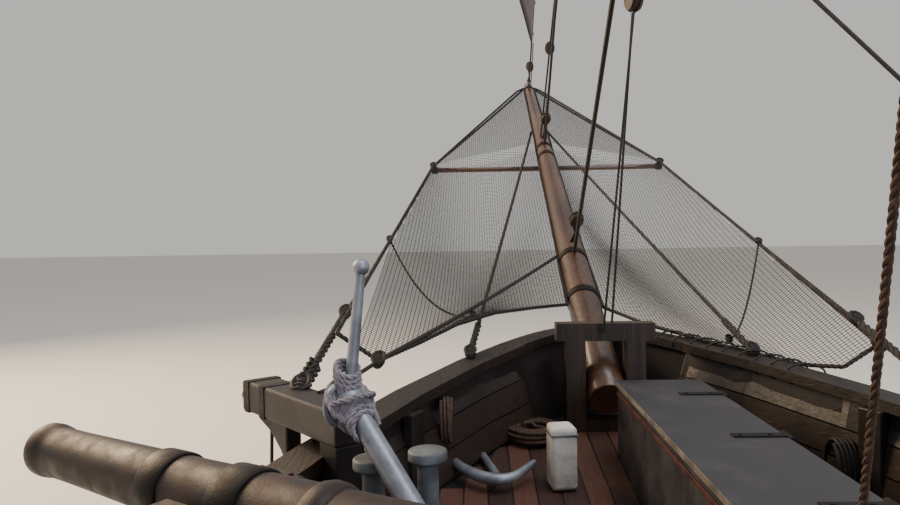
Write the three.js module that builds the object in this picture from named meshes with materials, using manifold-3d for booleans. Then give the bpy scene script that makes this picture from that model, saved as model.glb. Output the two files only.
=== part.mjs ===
// Two-masted pirate ship tour boat, afloat. Millimetres: X forward, Y to port, Z up.
// The origin is amidships, on the centre line, at the waterline.
import * as THREE from 'three';
import { mergeVertices } from 'three/addons/utils/BufferGeometryUtils.js';
import Module from 'manifold-3d';

const wasm = await Module();
wasm.setup();

// Driving dimensions of the hull
const seam = 0.4;
const stemHeadX = 9000;
const stemRailZ = 2300;
const deckStemX = 8860;
const transomX = -8800;
const deckLength = deckStemX - transomX;
const maxHalfBeam = 2400;
const entranceLength = 9000;
const entranceSharpness = 2.568;
const entranceFullness = 1.371;
const keelHalf = 80;
const keelBottomZ = -1950;
const plankThickness = 70;
const capWidth = 160;
const capThickness = 50;
const bowBulwark = 480;
const waistBulwark = 760;
const waleProud = 60;

// Deckhouses
const cabinFrontX = -3600;
const cabinHeight = 1700;
const cabinWall = 90;
const tumblehome = 150;
const quarterRailHeight = 850;

// Rig
const mastSides = 12;
const foremast = { x: 3400, top: 14000, foot: 150, head: 60, platform: 8500 };
const mainmast = { x: -2400, top: 14900, foot: 165, head: 60, platform: 10300 };
const bowspritAngle = THREE.MathUtils.degToRad(26.8);
const bowspritLength = 5764;
const bowspritHeel = 690;
const bowspritFoot = 110;
const bowspritTip = 60;
const spreaderAlong = 3117;
const spreaderHalf = 1169;
const spreaderRadius = 24;

const paint = (color, roughness = 0.7, metalness = 0) =>
  new THREE.MeshStandardMaterial({ color, roughness, metalness });
const materials = {
  blackHull: paint(0x1d1a18),
  deckWood: paint(0x8a5a3c),
  darkWood: paint(0x3b2a20),
  sparWood: paint(0x7a4f2e),
  iron: paint(0x4a3a33, 0.6, 0.8),
  silverPaint: paint(0xc9c9c6, 0.5, 0.3),
  bronze: paint(0xa8763c, 0.4, 0.9),
  greyPaint: paint(0x55565a),
  tanSail: paint(0x3d1f19, 0.9),
  net: paint(0x14110f, 0.9),
  rope: paint(0x2a241e, 0.9),
  gold: paint(0xb98a3a, 0.4, 0.6),
};

const ship = new THREE.Group();

// Shape helpers
function add(name, geometry, material, group = ship) {
  const mesh = new THREE.Mesh(geometry, material);
  mesh.name = name;
  group.add(mesh);
  return mesh;
}

const point = (x, y, z) => new THREE.Vector3(x, y, z);
const mirrored = (p) => point(p.x, -p.y, p.z);
const mix = THREE.MathUtils.lerp;

function signedVolume(geometry) {
  const position = geometry.getAttribute('position');
  const index = geometry.getIndex().array;
  const corner = [point(0, 0, 0), point(0, 0, 0), point(0, 0, 0)];
  let volume = 0;
  for (let i = 0; i < index.length; i += 3) {
    corner.forEach((c, k) => c.fromBufferAttribute(position, index[i + k]));
    volume += corner[0].dot(corner[1].clone().cross(corner[2])) / 6;
  }
  return volume;
}

// A closed solid through rings of equal count; point i of a ring faces point count - 1 - i
function loft(rings) {
  const count = rings[0].length;
  const index = [];
  const quad = (a, b, c, d) => index.push(a, b, c, a, c, d);
  for (let r = 0; r < rings.length - 1; r += 1) {
    for (let k = 0; k < count; k += 1) {
      const next = (k + 1) % count;
      const [a, b] = [r * count + k, r * count + next];
      if (k < count / 2) quad(a, b, b + count, a + count);
      else quad(b, b + count, a + count, a);
    }
  }
  const last = (rings.length - 1) * count;
  for (let k = 0; k < count / 2 - 1; k += 1) {
    quad(count - 1 - k, count - 2 - k, k + 1, k);
    quad(last + k, last + k + 1, last + count - 2 - k, last + count - 1 - k);
  }
  const geometry = new THREE.BufferGeometry();
  const places = rings.flat().flatMap((p) => p.toArray());
  geometry.setAttribute('position', new THREE.Float32BufferAttribute(places, 3));
  geometry.setIndex(index);
  if (signedVolume(geometry) < 0) {
    for (let i = 0; i < index.length; i += 3) [index[i], index[i + 1]] = [index[i + 1], index[i]];
    geometry.setIndex(index);
  }
  return geometry;
}

function moved(geometry, x, y, z, turnX = 0, turnY = 0, turnZ = 0) {
  const matrix = new THREE.Matrix4().makeRotationFromEuler(new THREE.Euler(turnX, turnY, turnZ, 'ZYX'));
  matrix.setPosition(x, y, z);
  return geometry.clone().applyMatrix4(matrix);
}

const box = (sizeX, sizeY, sizeZ, x, y, z, turnX = 0, turnY = 0, turnZ = 0) =>
  moved(new THREE.BoxGeometry(sizeX, sizeY, sizeZ), x, y, z, turnX, turnY, turnZ);

// A round bar from one point to another, a vertex of its section turned to port
function bar(from, to, radius, endRadius = radius, sides = 10) {
  const along = to.clone().sub(from);
  const geometry = new THREE.CylinderGeometry(endRadius, radius, along.length(), sides);
  const turn = new THREE.Quaternion().setFromUnitVectors(point(0, 1, 0), along.clone().normalize());
  const middle = from.clone().add(to).multiplyScalar(0.5);
  return geometry.applyMatrix4(new THREE.Matrix4().compose(middle, turn, point(1, 1, 1)));
}

function toSolid(geometry) {
  const bare = geometry.clone();
  bare.deleteAttribute('normal');
  bare.deleteAttribute('uv');
  const merged = mergeVertices(bare, 1e-3);
  return new wasm.Manifold(new wasm.Mesh({
    numProp: 3,
    vertProperties: new Float32Array(merged.getAttribute('position').array),
    triVerts: new Uint32Array(merged.getIndex().array),
  }));
}

function toGeometry(solid) {
  const mesh = solid.getMesh();
  const geometry = new THREE.BufferGeometry();
  geometry.setAttribute('position', new THREE.Float32BufferAttribute(mesh.vertProperties, 3));
  geometry.setIndex(Array.from(mesh.triVerts));
  return geometry;
}

const join = (...geometries) => toGeometry(geometries.map(toSolid).reduce((a, b) => a.add(b)));
const cut = (geometry, ...cutters) =>
  toGeometry(cutters.map(toSolid).reduce((a, b) => a.subtract(b), toSolid(geometry)));

// Hull form
// columns: name; height at stem, amidships and stern; X at stem and stern; half-beam; fullness of the bow;
// half-breadth at the stern
const hullTable = [
  ['deckEdge', 1830, 1300, 1560, 8860, -8800, 2400, 1.371, 1800],
  ['waleHigh', 1590, 1080, 1340, 8765, -8755, 2425, 1.33, 1760],
  ['waleLow', 1360, 870, 1120, 8675, -8710, 2430, 1.29, 1690],
  ['topside', 800, 440, 600, 8430, -8610, 2400, 1.2, 1280],
  ['waterline', 40, -60, 60, 8020, -8480, 2330, 1.08, 420],
  ['bilge', -620, -640, -520, 7470, -7000, 2080, 0.96, keelHalf],
  ['lowBilge', -1010, -1120, -880, 6920, -7000, 1440, 0.86, keelHalf],
  ['garboard', -1240, -1400, -1240, 6400, -7000, 620, 0.8, keelHalf],
  ['rabbet', -1380, -1490, -1500, 5900, -7000, keelHalf, 1, keelHalf],
];
const hullLevels = hullTable.map(([name, bow, mid, stern, stemX, sternX, half, full, aft]) => (
  { name, bow, mid, stern, stemX, sternX, half, full, aft }));
const deckStationsX = [8860, 8600, 8250, 7750, 7100, 6300, 5350, 4250, 3000, 1500, 0, -1700, -3600, -5400,
  -7100, -8800];
const stationShares = deckStationsX.map((x) => (deckStemX - x) / deckLength);

function entrance(distance, fullness) {
  const t = Math.min(distance / entranceLength, 1);
  return (1 - (1 - t) ** entranceSharpness) ** (1 / fullness);
}

function hullPoint(level, share) {
  const towardBow = Math.max(1 - 2 * share, 0) ** 2;
  const towardStern = Math.max(2 * share - 1, 0) ** 2;
  const z = level.mid + (level.bow - level.mid) * towardBow + (level.stern - level.mid) * towardStern;
  const forward = entrance(share * deckLength, level.full);
  const run = Math.max((share - 0.52) / 0.48, 0) ** 2.2;
  const y = keelHalf + (level.half - keelHalf) * forward;
  return point(mix(level.stemX, level.sternX, share), mix(y, level.aft, run), z);
}

const levelNamed = (name) => hullLevels.find((level) => level.name === name);
const deckEdge = stationShares.map((share) => hullPoint(levelNamed('deckEdge'), share));

function deckAt(x) {
  const i = Math.max(deckEdge.findIndex((p) => p.x <= x), 1);
  const [fore, aft] = [deckEdge[i - 1], deckEdge[i]];
  return mix(aft.z, fore.z, (x - aft.x) / (fore.x - aft.x));
}

function hullSolid() {
  const rings = stationShares.map((share) => {
    const port = hullLevels.map((level) => hullPoint(level, share));
    return [...port, ...port.map(mirrored).reverse()];
  });
  return loft(rings);
}

add('hull', hullSolid(), materials.blackHull);

// Everything below the deck, or below the quarterdeck, to trim what stands there to its slope
function blockUnder(path, rise) {
  return loft(path.map((p) => {
    const top = p.z + rise + seam;
    const [half, low] = [maxHalfBeam + 200, -100];
    return [point(p.x, half, top), point(p.x, half, low), point(p.x, -half, low), point(p.x, -half, top)];
  }));
}
const onDeck = (...geometries) => cut(join(...geometries), blockUnder(deckEdge, 0));
const onQuarterdeck = (...geometries) =>
  cut(join(...geometries), blockUnder(deckEdge.slice(12), cabinHeight));

// A collar round an upright spar of the given radius, free to turn on it
function collar(x, z, spar, thickness, height) {
  const inner = spar / Math.cos(Math.PI / 24) + seam;
  const outer = inner + thickness;
  const ring = [[inner, 0], [outer, 0], [outer, height], [inner, height], [inner, 0]];
  const lathe = new THREE.LatheGeometry(ring.map(([r, up]) => new THREE.Vector2(r, up)), 24, Math.PI / 24);
  return moved(lathe, x, 0, z, Math.PI / 2);
}

// Keel, stem and rudder post: one plate with the propeller's aperture in it
const apertureAftX = -7650;
const postAftX = -7800;
const shoeTopZ = -1850;
const shoeAftX = -7920;
const runAftX = levelNamed('bilge').sternX;
const counterAt = (x) => mix(levelNamed('bilge').stern, levelNamed('waterline').stern,
  (runAftX - x) / (runAftX - levelNamed('waterline').sternX));
const bowspritAt = (along) =>
  point(stemHeadX + along * Math.cos(bowspritAngle), 0, stemRailZ + along * Math.sin(bowspritAngle));

function keelSolid() {
  const rabbetLine = [
    ...hullLevels.map((level) => hullPoint(level, 0)),
    ...stationShares.slice(1).map((share) => hullPoint(levelNamed('rabbet'), share)),
  ];
  const inner = rabbetLine.map((p) => new THREE.Vector2(p.x + seam, p.z - seam));
  const underBowsprit = (x) => stemRailZ - bowspritFoot / Math.cos(bowspritAngle) - seam
    + (x - stemHeadX) * Math.tan(bowspritAngle);
  const outline = [
    new THREE.Vector2(8925, underBowsprit(8925)),
    ...inner,
    new THREE.Vector2(runAftX - seam, shoeTopZ),
    new THREE.Vector2(apertureAftX, shoeTopZ),
    new THREE.Vector2(apertureAftX, counterAt(apertureAftX) - 1),
    new THREE.Vector2(postAftX, counterAt(postAftX) - 1),
    new THREE.Vector2(postAftX, shoeTopZ),
    new THREE.Vector2(shoeAftX, shoeTopZ),
    new THREE.Vector2(shoeAftX, keelBottomZ),
    new THREE.Vector2(4700, keelBottomZ),
    new THREE.Vector2(6200, -1700),
    new THREE.Vector2(7250, -1150),
    new THREE.Vector2(7950, -450),
    new THREE.Vector2(8560, 600),
    new THREE.Vector2(8960, 1700),
    new THREE.Vector2(9120, underBowsprit(9120)),
  ];
  const shape = new THREE.Shape(outline);
  const plate = new THREE.ExtrudeGeometry(shape, { depth: 2 * keelHalf, bevelEnabled: false });
  return moved(plate, 0, keelHalf, 0, Math.PI / 2);
}

add('keel_and_stem', keelSolid(), materials.darkWood);

// Paths along the deck edge, and points a distance inboard of them
function inboard(path, i, distance) {
  const ahead = path[Math.max(i - 1, 0)];
  const astern = path[Math.min(i + 1, path.length - 1)];
  const along = point(astern.x - ahead.x, astern.y - ahead.y, 0).normalize();
  return path[i].clone().addScaledVector(point(-along.y, -Math.abs(along.x), 0), distance);
}

const smooth = THREE.MathUtils.smoothstep;
const bulwarkAt = (x) => mix(waistBulwark, bowBulwark, smooth(x, 2600, 3900));
const bulwarkPath = deckEdge.slice(1, 13);
const railPath = bulwarkPath.map((p) => {
  const fitted = keelHalf + (maxHalfBeam - keelHalf) * entrance(stemHeadX - p.x, entranceFullness);
  return point(p.x, Math.max(p.y, Math.min(fitted, maxHalfBeam)), p.z + bulwarkAt(p.x));
});

function bulwarkSolid() {
  const rings = bulwarkPath.map((p, i) => {
    const last = i === bulwarkPath.length - 1;
    const x = last ? cabinFrontX + 30 : p.x;
    const foot = inboard(bulwarkPath, i, plankThickness);
    const head = railPath[i].clone().setZ(railPath[i].z - capThickness - seam);
    const headIn = inboard(railPath, i, plankThickness).setZ(head.z);
    const raise = 2 * seam;
    return [
      point(x, p.y, p.z + raise),
      point(last ? x : foot.x, foot.y, deckAt(foot.x) + raise),
      point(last ? x : headIn.x, headIn.y, headIn.z),
      point(x, head.y, head.z),
    ];
  });
  return loft(rings);
}

function capSolid() {
  const overhang = (capWidth - plankThickness) / 2;
  const rings = railPath.map((p, i) => {
    const last = i === railPath.length - 1;
    const outer = inboard(railPath, i, -overhang);
    const inner = inboard(railPath, i, plankThickness + overhang);
    if (last) outer.x = cabinFrontX + 30;
    if (last) inner.x = cabinFrontX + 30;
    const low = p.z - capThickness + seam;
    return [point(outer.x, outer.y, low), point(inner.x, inner.y, low),
      point(inner.x, inner.y, p.z), point(outer.x, outer.y, p.z)];
  });
  return loft(rings);
}

function waleSolid() {
  const rings = stationShares.slice(0, -1).map((share) => {
    const high = hullPoint(levelNamed('waleHigh'), share);
    const low = hullPoint(levelNamed('waleLow'), share);
    const ahead = 0.01;
    const slope = hullPoint(levelNamed('waleHigh'), share + ahead).y - high.y;
    const outward = point(Math.max(slope, 0) / (ahead * deckLength), 1, 0).normalize();
    const step = (p, distance) => p.clone().addScaledVector(outward, distance);
    return [step(high, 1.5 * seam), step(low, 1.5 * seam), step(low, waleProud), step(high, waleProud)];
  });
  return loft(rings);
}

const mirrorY = (geometry) => {
  const copy = geometry.clone().scale(1, -1, 1);
  const index = Array.from(copy.getIndex().array);
  for (let i = 0; i < index.length; i += 3) [index[i], index[i + 1]] = [index[i + 1], index[i]];
  copy.setIndex(index);
  return copy;
};

function addPair(name, geometry, material) {
  add(`${name}_port`, geometry, material);
  add(`${name}_starboard`, mirrorY(geometry), material);
}

addPair('bulwark', bulwarkSolid(), materials.blackHull);
addPair('cap_rail', capSolid(), materials.darkWood);
addPair('wale', waleSolid(), materials.darkWood);

// Stern cabin under the quarterdeck, hollow, with its door and windows cut
const cabinPath = deckEdge.slice(12);
const doorWidth = 640;
const doorHeight = 1480;
const roofAt = (x) => deckAt(x) + cabinHeight;

function cabinShell(inset, top, frontX, aftX) {
  const rings = cabinPath.map((p, i) => {
    const ends = { 0: frontX, [cabinPath.length - 1]: aftX };
    const x = ends[i] ?? p.x;
    const z = deckAt(Math.min(Math.max(x, transomX), cabinFrontX));
    const low = z + (inset ? -200 : 2 * seam);
    return [point(x, p.y - inset, low), point(x, p.y - tumblehome - inset, z + top),
      point(x, -(p.y - tumblehome - inset), z + top), point(x, -(p.y - inset), low)];
  });
  return loft(rings);
}

function cabinSolid() {
  const outer = cabinShell(0, cabinHeight, cabinFrontX, transomX);
  const inner = cabinShell(cabinWall, cabinHeight - cabinWall, cabinFrontX - cabinWall,
    transomX + cabinWall);
  const floorZ = deckAt(cabinFrontX);
  const door = box(400, doorWidth, doorHeight + 200, cabinFrontX, 0, floorZ + doorHeight / 2 - 100);
  const sideWindows = [-5000, -6400].map((x) => box(620, 6000, 420, x, 0, deckAt(x) + 1050));
  const sternWindows = [-900, 0, 900].map((y) => (
    box(600, 560, 620, transomX, y, deckAt(transomX) + 950)));
  const frontWindows = [-1150, 1150].map((y) => box(400, 460, 420, cabinFrontX, y, floorZ + 1050));
  return cut(outer, inner, door, ...sideWindows, ...sternWindows, ...frontWindows);
}

add('stern_cabin', cabinSolid(), materials.darkWood);

// A door leaf in its opening, hung on a knuckle against the port jamb; facing is 1 forward, -1 aft
const doorGap = 7;
const knuckle = 12;
function doorSolid(faceX, facing, width, height, thickness, sillGap = doorGap) {
  const sill = deckAt(faceX) + sillGap;
  const leafHeight = height - doorGap - sillGap;
  const hingeY = width / 2 - knuckle - seam;
  const hingeX = faceX - facing;
  const knobY = -width * 0.36;
  return join(
    box(thickness, width - 2 * doorGap, leafHeight,
      faceX - facing * thickness / 2, 0, sill + leafHeight / 2),
    bar(point(hingeX, hingeY, sill), point(hingeX, hingeY, sill + leafHeight), knuckle, knuckle, 8),
    bar(point(faceX, knobY, sill + 700), point(faceX + facing * 60, knobY, sill + 700), 22, 22, 8),
  );
}
add('cabin_door', doorSolid(cabinFrontX, 1, doorWidth, doorHeight, 50), materials.sparWood);

// Quarterdeck rail: a top rail along the roof's edges and across the stern, on square posts
const railInset = 110;
const postSize = 90;
const handrailHalf = 45;
function quarterRail() {
  const portPath = cabinPath.map((p, i) => {
    const ends = { 0: cabinFrontX - railInset, [cabinPath.length - 1]: transomX + railInset };
    const x = ends[i] ?? p.x;
    return point(x, p.y - tumblehome - railInset, roofAt(x));
  });
  const path = [...portPath, ...portPath.map(mirrored).reverse()];
  const last = portPath.length - 1;
  const rings = path.map((p, i) => {
    const aft = i === last || i === last + 1;
    const side = Math.sign(p.y);
    const at = (out, up) => point(p.x - (aft ? out : 0), p.y + side * out, p.z + quarterRailHeight + up);
    return [at(handrailHalf, 40), at(-handrailHalf, 40), at(-handrailHalf, -30), at(handrailHalf, -30)];
  });
  const posts = [];
  const postOn = (p) => (
    box(postSize, postSize, quarterRailHeight, p.x, p.y, p.z + quarterRailHeight / 2 - 12));
  for (let i = 0; i < path.length - 1; i += 1) {
    const steps = i === last ? 5 : 2;
    for (let k = 0; k < steps; k += 1) {
      const foot = path[i].clone().lerp(path[i + 1], k / steps);
      posts.push(postOn(foot));
    }
  }
  posts.push(postOn(path[path.length - 1]));
  return onQuarterdeck(loft(rings), ...posts);
}

add('quarterdeck_rail', quarterRail(), materials.sparWood);

// Ladder from the waist to the quarterdeck, on the port side of the door
function ladderSolid() {
  const footX = cabinFrontX + 760;
  const run = footX - cabinFrontX - 60;
  const rise = roofAt(cabinFrontX) - deckAt(footX);
  const lean = Math.atan2(run, rise);
  const pieces = [];
  const middle = point(footX - run / 2, 1500, deckAt(footX) + rise / 2 + 30);
  for (const y of [-260, 260]) {
    pieces.push(box(130, 40, Math.hypot(run, rise) + 60, middle.x, middle.y + y, middle.z, 0, -lean));
  }
  const treads = 6;
  for (let step = 1; step <= treads; step += 1) {
    const share = step / (treads + 1);
    pieces.push(box(150, 520, 35, footX - run * share, middle.y, deckAt(footX) + rise * share));
  }
  return onDeck(...pieces);
}

add('quarterdeck_ladder', ladderSolid(), materials.sparWood);

// Rudder, stern tube and propeller
const rudderAxisX = postAftX - 50;
const rudderStock = 44;
function rudderSolid() {
  const blade = new THREE.Shape([
    new THREE.Vector2(rudderAxisX, shoeTopZ + 20),
    new THREE.Vector2(-8560, shoeTopZ + 20),
    new THREE.Vector2(-8640, -1500),
    new THREE.Vector2(-8520, -420),
    new THREE.Vector2(rudderAxisX, -330),
  ]);
  const plate = new THREE.ExtrudeGeometry(blade, { depth: 60, bevelEnabled: false });
  const stockFoot = point(rudderAxisX, 0, shoeTopZ + seam);
  const stockHead = point(rudderAxisX, 0, counterAt(rudderAxisX) - 25);
  const stock = bar(stockFoot, stockHead, rudderStock, rudderStock, 12);
  return join(moved(plate, 0, 30, 0, Math.PI / 2), stock);
}
add('rudder', rudderSolid(), materials.darkWood);

const shaftZ = -1150;
const propellerX = -7330;
const shaftRadius = 30;
const tubeRadius = 75;
const boreFor = (radius) => radius / Math.cos(Math.PI / 24) + seam;
add('stern_tube', cut(
  bar(point(runAftX - seam, 0, shaftZ), point(-7110, 0, shaftZ), tubeRadius, tubeRadius - 10, 12),
  bar(point(-7030, 0, shaftZ), point(-7200, 0, shaftZ), boreFor(shaftRadius), boreFor(shaftRadius), 24),
), materials.bronze);
const bladePitch = -0.6;
function propellerSolid() {
  const pieces = [
    bar(point(propellerX + 70, 0, shaftZ), point(propellerX - 110, 0, shaftZ), 70, 45, 12),
    bar(point(-7040, 0, shaftZ), point(propellerX, 0, shaftZ), shaftRadius, shaftRadius, 12),
  ];
  for (let blade = 0; blade < 4; blade += 1) {
    const disc = new THREE.CylinderGeometry(1, 1, 26, 12).scale(140, 1, 190).rotateX(Math.PI);
    const pitched = disc.rotateZ(bladePitch + Math.PI / 2).translate(0, 0, 205);
    pieces.push(pitched.rotateX(blade * Math.PI / 2).translate(propellerX - 10, 0, shaftZ));
  }
  return join(...pieces);
}
add('propeller', propellerSolid(), materials.bronze);

// Bowsprit, its bitts and the net spreader under it
const bowspritRadiusAt = (along) => mix(bowspritFoot, bowspritTip, Math.max(along, 0) / bowspritLength);
add('bowsprit', join(
  bar(bowspritAt(-bowspritHeel), bowspritAt(0), bowspritFoot, bowspritFoot, mastSides),
  bar(bowspritAt(-1), bowspritAt(bowspritLength), bowspritFoot, bowspritTip, mastSides),
), materials.sparWood);

const heelX = bowspritAt(-bowspritHeel).x;
function bowspritBitts() {
  const x = heelX + 120;
  const base = deckAt(x);
  const pieces = [-170, 170].map((y) => box(110, 110, 660, x, y, base + 290));
  pieces.push(box(110, 560, 100, x, 0, base + 570));
  pieces.push(box(100, 300, 100, x, 0, base + 20));
  return onDeck(...pieces);
}
add('bowsprit_bitts', bowspritBitts(), materials.darkWood);

const spreaderCentre = bowspritAt(spreaderAlong);
const spreaderDrop = (bowspritRadiusAt(spreaderAlong) + spreaderRadius + 2 * seam)
  / Math.cos(bowspritAngle);
const spreaderZ = spreaderCentre.z - spreaderDrop;
const spreaderEndAt = (side) => point(spreaderCentre.x, side * spreaderHalf, spreaderZ);
add('net_spreader', bar(spreaderEndAt(-1), spreaderEndAt(1), spreaderRadius, spreaderRadius, 10),
  materials.sparWood);

// Safety nets each side of the bowsprit, sagging between the bowsprit and the spreader's guy
const netThickness = 16;
const netLowCorner = point(7750, 1290, 2400);
const netShares = [0, 0.14, 0.28, 0.42, 0.57, 0.72, 0.86, 0.97];
const netColumns = 6;
function netSolid() {
  const spreaderEnd = spreaderEndAt(1).add(point(0, 0, spreaderRadius + netThickness / 2 + 9));
  const tip = bowspritAt(bowspritLength);
  const knee = 0.57;
  const rings = netShares.map((share) => {
    const innerAlong = mix(250, bowspritLength, share);
    const inner = bowspritAt(innerAlong).setY(bowspritRadiusAt(innerAlong) + seam);
    const outer = share < knee
      ? netLowCorner.clone().lerp(spreaderEnd, share / knee)
      : spreaderEnd.clone().lerp(tip, (share - knee) / (1 - knee)).setY(
        mix(spreaderHalf, bowspritTip + 20, (share - knee) / (1 - knee)));
    const sag = 330 * Math.sin(Math.PI * Math.min(share / knee, 1)) + 60;
    const top = [];
    for (let k = 0; k < netColumns; k += 1) {
      const across = k / (netColumns - 1);
      const p = inner.clone().lerp(outer, across);
      const lift = share >= knee ? 26 * (1 - across) : 0;
      top.push(p.setZ(p.z + lift - (share < knee ? sag : 0) * Math.sin(Math.PI * across)));
    }
    const low = top.map((p) => p.clone().setZ(p.z - netThickness / 2)).reverse();
    return [...top.map((p) => p.clone().setZ(p.z + netThickness / 2)), ...low];
  });
  return loft(rings);
}
addPair('bow_net', netSolid(), materials.net);

// Catheads: square beams from the foredeck out over the rail
const catheadRoot = point(6880, 1130, 2165);
const catheadEnd = point(7540, 1720, 2190);
function catheadSolid() {
  const beam = catheadEnd.clone().sub(catheadRoot);
  const middle = catheadRoot.clone().add(catheadEnd).multiplyScalar(0.5);
  const turn = Math.atan2(beam.y, beam.x);
  const deckZ = deckAt(catheadRoot.x);
  const railSlope = 0.083;
  const railClear = stemRailZ - railSlope * (stemHeadX - 7150) + 12;
  const post = point(catheadRoot.x + 60, catheadRoot.y + 50, (railClear - 40 + deckZ) / 2);
  return onDeck(
    box(beam.length(), 150, 130, middle.x, middle.y, railClear + 75, 0, 0, turn),
    box(130, 130, railClear + 160 - deckZ, post.x, post.y, post.z, 0, 0, turn),
  );
}
addPair('cathead', catheadSolid(), materials.darkWood);

// Stocked anchor leaning from the foredeck, painted silver
const anchorHead = point(6647, 1080, 2408);
const anchorCrown = point(6034, 487, deckAt(6034) + 38);
const stockTop = point(6660, 1100, 2830);
const stockFoot = point(6640, 1070, 2250);
function anchorSolid() {
  const along = anchorHead.clone().sub(anchorCrown).normalize();
  const stockAlong = stockTop.clone().sub(stockFoot).normalize();
  const sideways = along.clone().cross(stockAlong).normalize();
  const pieces = [
    bar(anchorCrown, anchorHead, 44, 34, 8),
    bar(stockFoot, stockTop, 20, 15, 8),
    moved(new THREE.SphereGeometry(52, 8, 5), anchorHead.x, anchorHead.y, anchorHead.z),
    moved(new THREE.SphereGeometry(28, 6, 4), stockTop.x, stockTop.y, stockTop.z),
    moved(new THREE.SphereGeometry(30, 6, 4), stockFoot.x, stockFoot.y, stockFoot.z, Math.PI / 2),
  ];
  const armPoint = (angle) => anchorCrown.clone()
    .addScaledVector(sideways, 300 * Math.sin(angle))
    .addScaledVector(along, 230 * (1 - Math.cos(angle)));
  for (const side of [-1, 1]) {
    const step = 0.42;
    for (let k = 0; k < 3; k += 1) {
      const [near, far] = [armPoint(side * k * step), armPoint(side * (k + 1.06) * step)];
      pieces.push(bar(near, far, 34 - 5 * k, 29 - 5 * k, 6));
    }
    const fluke = armPoint(side * 1.15);
    pieces.push(moved(new THREE.SphereGeometry(55, 6, 4), fluke.x, fluke.y, fluke.z));
  }
  return onDeck(...pieces);
}
add('stowed_anchor', anchorSolid(), materials.silverPaint);

// Mooring bitts: two turned posts with round plates on a plinth
const bittsTop = stockFoot.z - 30 - seam;
function bittsSolid() {
  const spots = [point(6640, 1070, 0), point(6720, 900, 0)];
  const base = deckAt(6600);
  const middle = spots[0].clone().add(spots[1]).multiplyScalar(0.5);
  const pieces = [box(360, 240, 80, middle.x, middle.y, base + 20, 0, 0, -1.13)];
  for (const spot of spots) {
    pieces.push(bar(point(spot.x, spot.y, base - 20), point(spot.x, spot.y, bittsTop - 10), 42, 34, 10));
    pieces.push(bar(point(spot.x, spot.y, bittsTop - 36), point(spot.x, spot.y, bittsTop), 66, 66, 12));
  }
  return onDeck(...pieces);
}
addPair('mooring_bitts', bittsSolid(), materials.greyPaint);

// Foredeck locker, long and narrow beside the centre line
const locker = { aftX: 6050, foreX: 8120, inner: 0, outer: -420, top: 2150, wall: 25, lid: 30 };
function lockerSolid() {
  const width = locker.inner - locker.outer;
  const middleY = (locker.inner + locker.outer) / 2;
  const bottom = (x) => deckAt(x) + seam * 2;
  const lidLow = locker.top - locker.lid;
  const breaks = [locker.foreX, 7750, 7100, 6300, locker.aftX];
  const shell = loft(breaks.map((x) => [
    point(x, locker.inner, bottom(x)), point(x, locker.outer, bottom(x)),
    point(x, locker.outer, lidLow), point(x, locker.inner, lidLow)]));
  const hollow = box(locker.foreX - locker.aftX - 2 * locker.wall, width - 2 * locker.wall, 300,
    (locker.foreX + locker.aftX) / 2, middleY, lidLow);
  return cut(shell, hollow);
}
add('foredeck_locker', lockerSolid(), materials.greyPaint);
const lidThickness = locker.lid - seam;
add('locker_lid', box(locker.foreX - locker.aftX + 30, locker.inner - locker.outer + 20, lidThickness,
  (locker.foreX + locker.aftX) / 2, (locker.inner + locker.outer) / 2, locker.top - lidThickness / 2),
materials.greyPaint);

// Anchor windlass ahead of the foremast
const windlassX = 4050;
const windlassZ = deckAt(windlassX) + 430;
const windlassShaft = 52;
const acrossWindlass = (half, radius, sides) =>
  bar(point(windlassX, -half, windlassZ), point(windlassX, half, windlassZ), radius, radius, sides);
add('windlass_frame', cut(onDeck(
  ...[-560, 560].map((y) => box(330, 110, 700, windlassX, y, deckAt(windlassX) + 294)),
  box(90, 1230, 90, windlassX - 120, 0, deckAt(windlassX) + 60),
), acrossWindlass(700, boreFor(windlassShaft), 24)), materials.darkWood);
add('windlass_drum', join(
  acrossWindlass(640, windlassShaft, 12),
  acrossWindlass(498, 150, 12),
  acrossWindlass(60, 200, 16),
), materials.iron);

// Masts with their fighting tops
const mastRadiusAt = (mast, z) => z < mast.platform + 900
  ? mix(mast.foot, mast.foot * 0.72, (z - deckAt(mast.x)) / (mast.platform + 900 - deckAt(mast.x)))
  : mix(mast.foot * 0.55, mast.head, (z - mast.platform - 890) / (mast.top - mast.platform - 890));
function mastSolid(mast) {
  const at = (z) => point(mast.x, 0, z);
  return onDeck(
    bar(at(deckAt(mast.x) - 60), at(mast.platform + 900), mast.foot, mast.foot * 0.72, mastSides),
    bar(at(mast.platform + 890), at(mast.top), mast.foot * 0.55, mast.head, mastSides),
  );
}
function topSolid(mast) {
  const bore = mastRadiusAt(mast, mast.platform) + seam;
  const profile = [[bore, 0], [700, 60], [760, 60], [760, 560], [720, 560], [720, 100], [bore, 100]];
  const ring = profile.map(([r, z]) => new THREE.Vector2(r, z));
  const lathe = new THREE.LatheGeometry([...ring, ring[0].clone()], 12);
  return moved(lathe, mast.x, 0, mast.platform, Math.PI / 2);
}
add('foremast', mastSolid(foremast), materials.sparWood);
add('mainmast', mastSolid(mainmast), materials.sparWood);
add('fore_top', topSolid(foremast), materials.darkWood);
add('main_top', topSolid(mainmast), materials.darkWood);

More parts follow.
